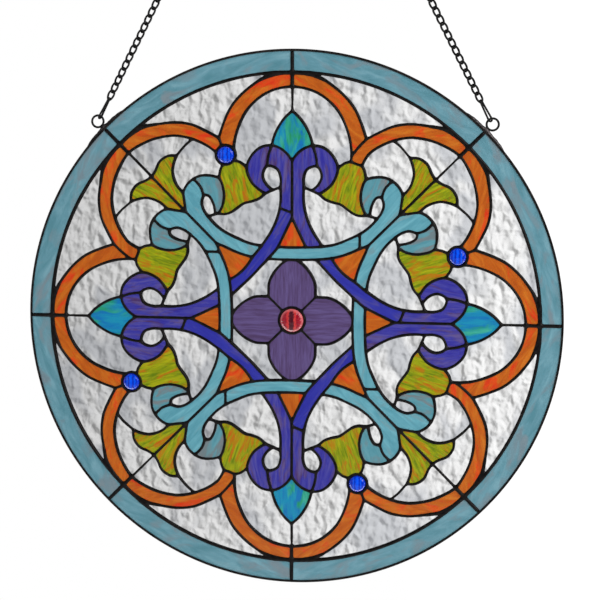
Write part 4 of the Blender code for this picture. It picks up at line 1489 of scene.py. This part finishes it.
@dataclass
class HangingHardware:
    """The rings soldered to the rim, the strips below them and the wire hooks.

    A wire's size is its radius, and the size of a bend is that of its wire's middle. A hook is turned about
    its length by the degrees in hook_turns, left and right. Solder thickens a strip by brace_solder, and it
    stands in a peak below the ring, with the height and the half length in brace_peak. brace_lumps is how
    uneven its thickness and its width are, brace_tip its thickness at the ends as a share, and brace_seat how
    far it lies off the rim.
    """

    ring_radius: float = 6.1
    ring_wire: float = 1.15
    ring_oval: float = 0.012
    ring_steps: int = 56
    ring_sides: int = 12
    hook_length: float = 27.0
    hook_width: float = 4.6
    hook_wire: float = 1.05
    hook_neck: float = 2.1
    hook_turns: Pair = (20.0, 46.0)
    hook_steps: tuple[int, int] = (10, 12)
    hook_sides: int = 10
    brace_half_angle: float = math.pi / 32
    brace_depth: float = 4.4
    brace_thickness: float = 1.4
    brace_solder: float = 1.25
    brace_peak: Pair = (1.2, 0.13)
    brace_lumps: Pair = (0.22, 0.1)
    brace_tip: float = 0.06
    brace_seat: float = 0.05
    brace_steps: int = 72
    brace_sides: int = 14
    gap: float = 0.3

    def out(self, sign: int) -> Vector:
        """The direction from the jewel to a ring."""
        return Vector((sign, 0, 1)).normalized()

    def hub(self, sign: int) -> Vector:
        """The centre of a ring."""
        reach = RIM_RADIUS + self.brace_thickness + self.ring_radius + self.ring_wire + 2 * self.gap
        return in_frame(JEWEL_CENTRE, 0) + self.out(sign) * reach

    def build(self, bench: Bench) -> dict[str, Vector]:
        """Builds the pieces.

        Args:
            bench: Where the pieces go.

        Returns:
            The middle of each hook's upper bend, by side.
        """
        ends = {}
        for (side, sign), turn in zip(RING_SIDES.items(), self.hook_turns):
            hook, ends[side] = self.hook(sign, math.radians(turn))
            for name, form, finish, node in (("rim_strip", self.brace(sign), BRACE_METAL, "rim_brace"),
                                             ("ring", self.ring(sign), CHAIN_METAL, "hanging_ring"),
                                             ("hook", hook, CHAIN_METAL, "wire_hook")):
                bench.add(f"{name}_{side}", form, finish, [f"{node}_{side}"], sharp=WIRE_SHARP)
        return ends

    def ring(self, sign: int) -> Form:
        """One ring, slightly out of round.

        Args:
            sign: -1 for the left ring and 1 for the right one.

        Returns:
            The places and the faces.
        """
        hub, out = self.hub(sign), self.out(sign)
        aside = out.cross(Vector((0, 1, 0)))
        path = []
        for angle in (math.tau * step / self.ring_steps for step in range(self.ring_steps)):
            reach = self.ring_radius * (1 + self.ring_oval * math.sin(2 * angle + sign))
            path.append(hub - out * (reach * math.cos(angle)) + aside * (reach * math.sin(angle)))
        return wire_loop(path, self.ring_wire, self.ring_sides)

    def brace(self, sign: int) -> Form:
        """One strip with solder run over it: tapered ends, a lumpy back and a peak below the ring.

        Args:
            sign: -1 for the left strip and 1 for the right one.

        Returns:
            The places and the faces.
        """
        out = self.out(sign)
        aside = out.cross(Vector((0, 1, 0)))
        centre = in_frame(JEWEL_CENTRE, 0)
        peak, peak_length = self.brace_peak
        places = []
        for i in range(self.brace_steps + 1):
            t = 2 * i / self.brace_steps - 1
            angle = self.brace_half_angle * t
            way = out * math.cos(angle) + aside * math.sin(angle)
            taper = max(self.brace_tip, 1 - abs(t) ** 5)
            lumps = 1 + self.brace_lumps[0] * noise.noise(Vector((t * 7, sign * 3, 0)))
            swaying = 1 + self.brace_lumps[1] * noise.noise(Vector((t * 9, 5, sign)))
            thick = (self.brace_solder * self.brace_thickness * taper * lumps
                     + peak * math.exp(-(t / peak_length) ** 2))
            wide = self.brace_depth / 2 * (0.35 + 0.65 * taper) * swaying
            for phi in (math.tau * k / self.brace_sides for k in range(self.brace_sides)):
                up = max(0.0, math.sin(phi)) ** 0.8 * thick
                reach = RIM_RADIUS + self.brace_seat + up
                places.append(centre + way * reach + Vector((0, wide * math.cos(phi), 0)))
        return places, ringed_faces(self.brace_steps + 1, self.brace_sides, False)

    def hook(self, sign: int, turn: float) -> tuple[Form, Vector]:
        """One hook: a long closed bend of wire that narrows towards the chain.

        Args:
            sign: -1 for the left hook and 1 for the right one.
            turn: How far it is turned about its length.

        Returns:
            Its places and faces, and the middle of its upper bend.
        """
        hub = self.hub(sign)
        up = (-hub).normalized()
        low = hub + up * (self.ring_radius - self.ring_wire - self.gap)
        half, neck = self.hook_width / 2, self.hook_neck / 2
        shank = self.hook_length / 2 - half - self.hook_wire
        across = Vector((up.z * math.sin(turn), math.cos(turn), -up.x * math.sin(turn)))
        centre = low + up * (shank + half - self.hook_wire)
        bend, run = self.hook_steps
        path = []
        for end, width, onward in ((1, neck, half), (-1, half, neck)):
            for angle in (math.pi * step / bend for step in range(bend + 1)):
                path.append(centre + across * (end * width * math.cos(angle))
                            + up * (end * (shank + width * math.sin(angle))))
            target = centre - across * (end * onward) - up * (end * shank)
            path += [path[-1].lerp(target, step / run) for step in range(1, run)]
        return wire_loop(path, self.hook_wire, self.hook_sides), centre + up * (shank + neck)


@dataclass
class Studio:
    """The white studio: camera, light, background and floor.

    The camera's fields were found from the photograph: its direction from the jewel in degrees, its distance
    in metres, its focal length in pixels, and the pixel at which the jewel is seen. The background's light
    grows from the first to the second value of gradient_light across gradient_span, from left to right. A
    light has its name, place, size and power.
    """

    azimuth: float = 8.23
    elevation: float = 8.35
    distance: float = 1.9516
    focal: float = 1876.0
    roll: float = -0.09
    jewel_pixel: Place = (292.09, 320.19)
    frame_pixels: float = 600.0
    sensor: float = 36.0
    gradient_span: Pair = (-0.32, 0.05)
    gradient_light: Pair = (0.62, 1.2)
    mirrored_light: float = 0.2
    lights: tuple[tuple[str, Triple, float, float], ...] = (
        ("key", (1.5, -1.3, 0.3), 1.4, 26.0),
        ("fill", (-1.5, -1.7, -0.2), 1.6, 5.0),
    )
    floor_height: float = -1.45
    floor_reach: tuple[Place, Place] = ((-2.2, 2.2), (-2.5, 1.2))

    def build(self) -> None:
        """Builds the studio."""
        bpy.context.scene.view_settings.view_transform = "Standard"
        self.place_camera()
        self.light_world()
        self.hang_lights()
        self.lay_floor()

    def place_camera(self) -> None:
        """Places the camera where the photograph was taken."""
        az, el = math.radians(self.azimuth), math.radians(self.elevation)
        back = Vector((math.sin(az) * math.cos(el), -math.cos(az) * math.cos(el), math.sin(el)))
        right = Vector((math.cos(az), math.sin(az), 0))
        base = Matrix((right, back.cross(right), back))
        roll = Matrix.Rotation(math.radians(self.roll), 3, "Z")
        across, down = ((pixel - self.frame_pixels / 2) / self.focal for pixel in self.jewel_pixel)
        seen = Vector((across, -down, -1)).normalized()
        aim = Vector((0, 0, -1)).rotation_difference(seen).to_matrix()
        camera = bpy.data.objects.new("camera", bpy.data.cameras.new("camera"))
        camera.data.sensor_width = self.sensor
        camera.data.lens = self.focal / self.frame_pixels * self.sensor
        place = in_frame(JEWEL_CENTRE, 0) * MM + back * self.distance
        camera.matrix_world = Matrix.Translation(place) @ (aim @ roll @ base).transposed().to_4x4()
        bpy.context.scene.collection.objects.link(camera)
        bpy.context.scene.camera = camera

    def light_world(self) -> None:
        """A white background that lights less from the left, and is dimmer still in what gloss mirrors."""
        graph = Graph(bpy.data.worlds.new("white_studio"), "Background")
        across = graph.add("SeparateXYZ", graph.add("TexCoord").outputs["Generated"]).outputs["X"]
        side = graph.levels(across, self.gradient_span, self.gradient_light)
        rays = graph.add("LightPath").outputs
        mirrored = graph.combined("SUBTRACT", rays["Is Glossy Ray"], rays["Is Transmission Ray"])
        gloss = graph.levels(mirrored, (0.0, 1.0), (1.0, self.mirrored_light))
        lit = graph.combined("MULTIPLY", side, gloss)
        graph.link(graph.combined("MAXIMUM", lit, rays["Is Camera Ray"]), graph.shader.inputs["Strength"])
        graph.shader.inputs["Color"].default_value = (1, 1, 1, 1)
        bpy.context.scene.world = graph.owner

    def hang_lights(self) -> None:
        """Two large soft lights in front of the panel."""
        for name, place, size, power in self.lights:
            light = bpy.data.lights.new(name, "AREA")
            light.shape = "DISK"
            light.size = size
            light.energy = power
            lamp = bpy.data.objects.new(name, light)
            lamp.location = place
            towards = in_frame(JEWEL_CENTRE, 0) * MM - lamp.location
            lamp.rotation_euler = towards.to_track_quat("-Z", "Y").to_euler()
            bpy.context.scene.collection.objects.link(lamp)

    def lay_floor(self) -> None:
        """A plain pale floor, far enough below that the main view doesn't reach it."""
        (left, right), (front, back) = self.floor_reach
        corners = [(x, y, self.floor_height)
                   for x, y in ((left, front), (right, front), (right, back), (left, back))]
        mesh = bpy.data.meshes.new("studio_floor")
        mesh.from_pydata(corners, [], [(0, 1, 2, 3)])
        pale = bpy.data.materials.new("pale_floor")
        pale.use_nodes = True
        shader = pale.node_tree.nodes["Principled BSDF"]
        shader.inputs["Base Color"].default_value = (0.8, 0.8, 0.8, 1)
        shader.inputs["Roughness"].default_value = 0.7
        mesh.materials.append(pale)
        floor = bpy.data.objects.new("studio_floor", mesh)
        bpy.context.scene.collection.objects.link(floor)


def main() -> None:
    """Builds the dressed panel and its studio."""
    logging.basicConfig(level=logging.INFO, format="%(name)s: %(message)s")
    Studio().build()
    drawing = LeadDrawing()
    drawing.draw()
    log.info("%d panes", len(drawing.panes))
    bench = Bench()
    used = GlassPanes().build(bench, drawing) | Gems().build(bench, drawing)
    if len(used) != len(drawing.panes):
        raise ValueError(f"{len(drawing.panes) - len(used)} panes have no glass")
    SolderSeams().build(bench, drawing)
    RimChannel().build(bench)
    Chain().build(bench, HangingHardware().build(bench))
    bpy.context.view_layer.update()


if __name__ == "__main__":
    main()
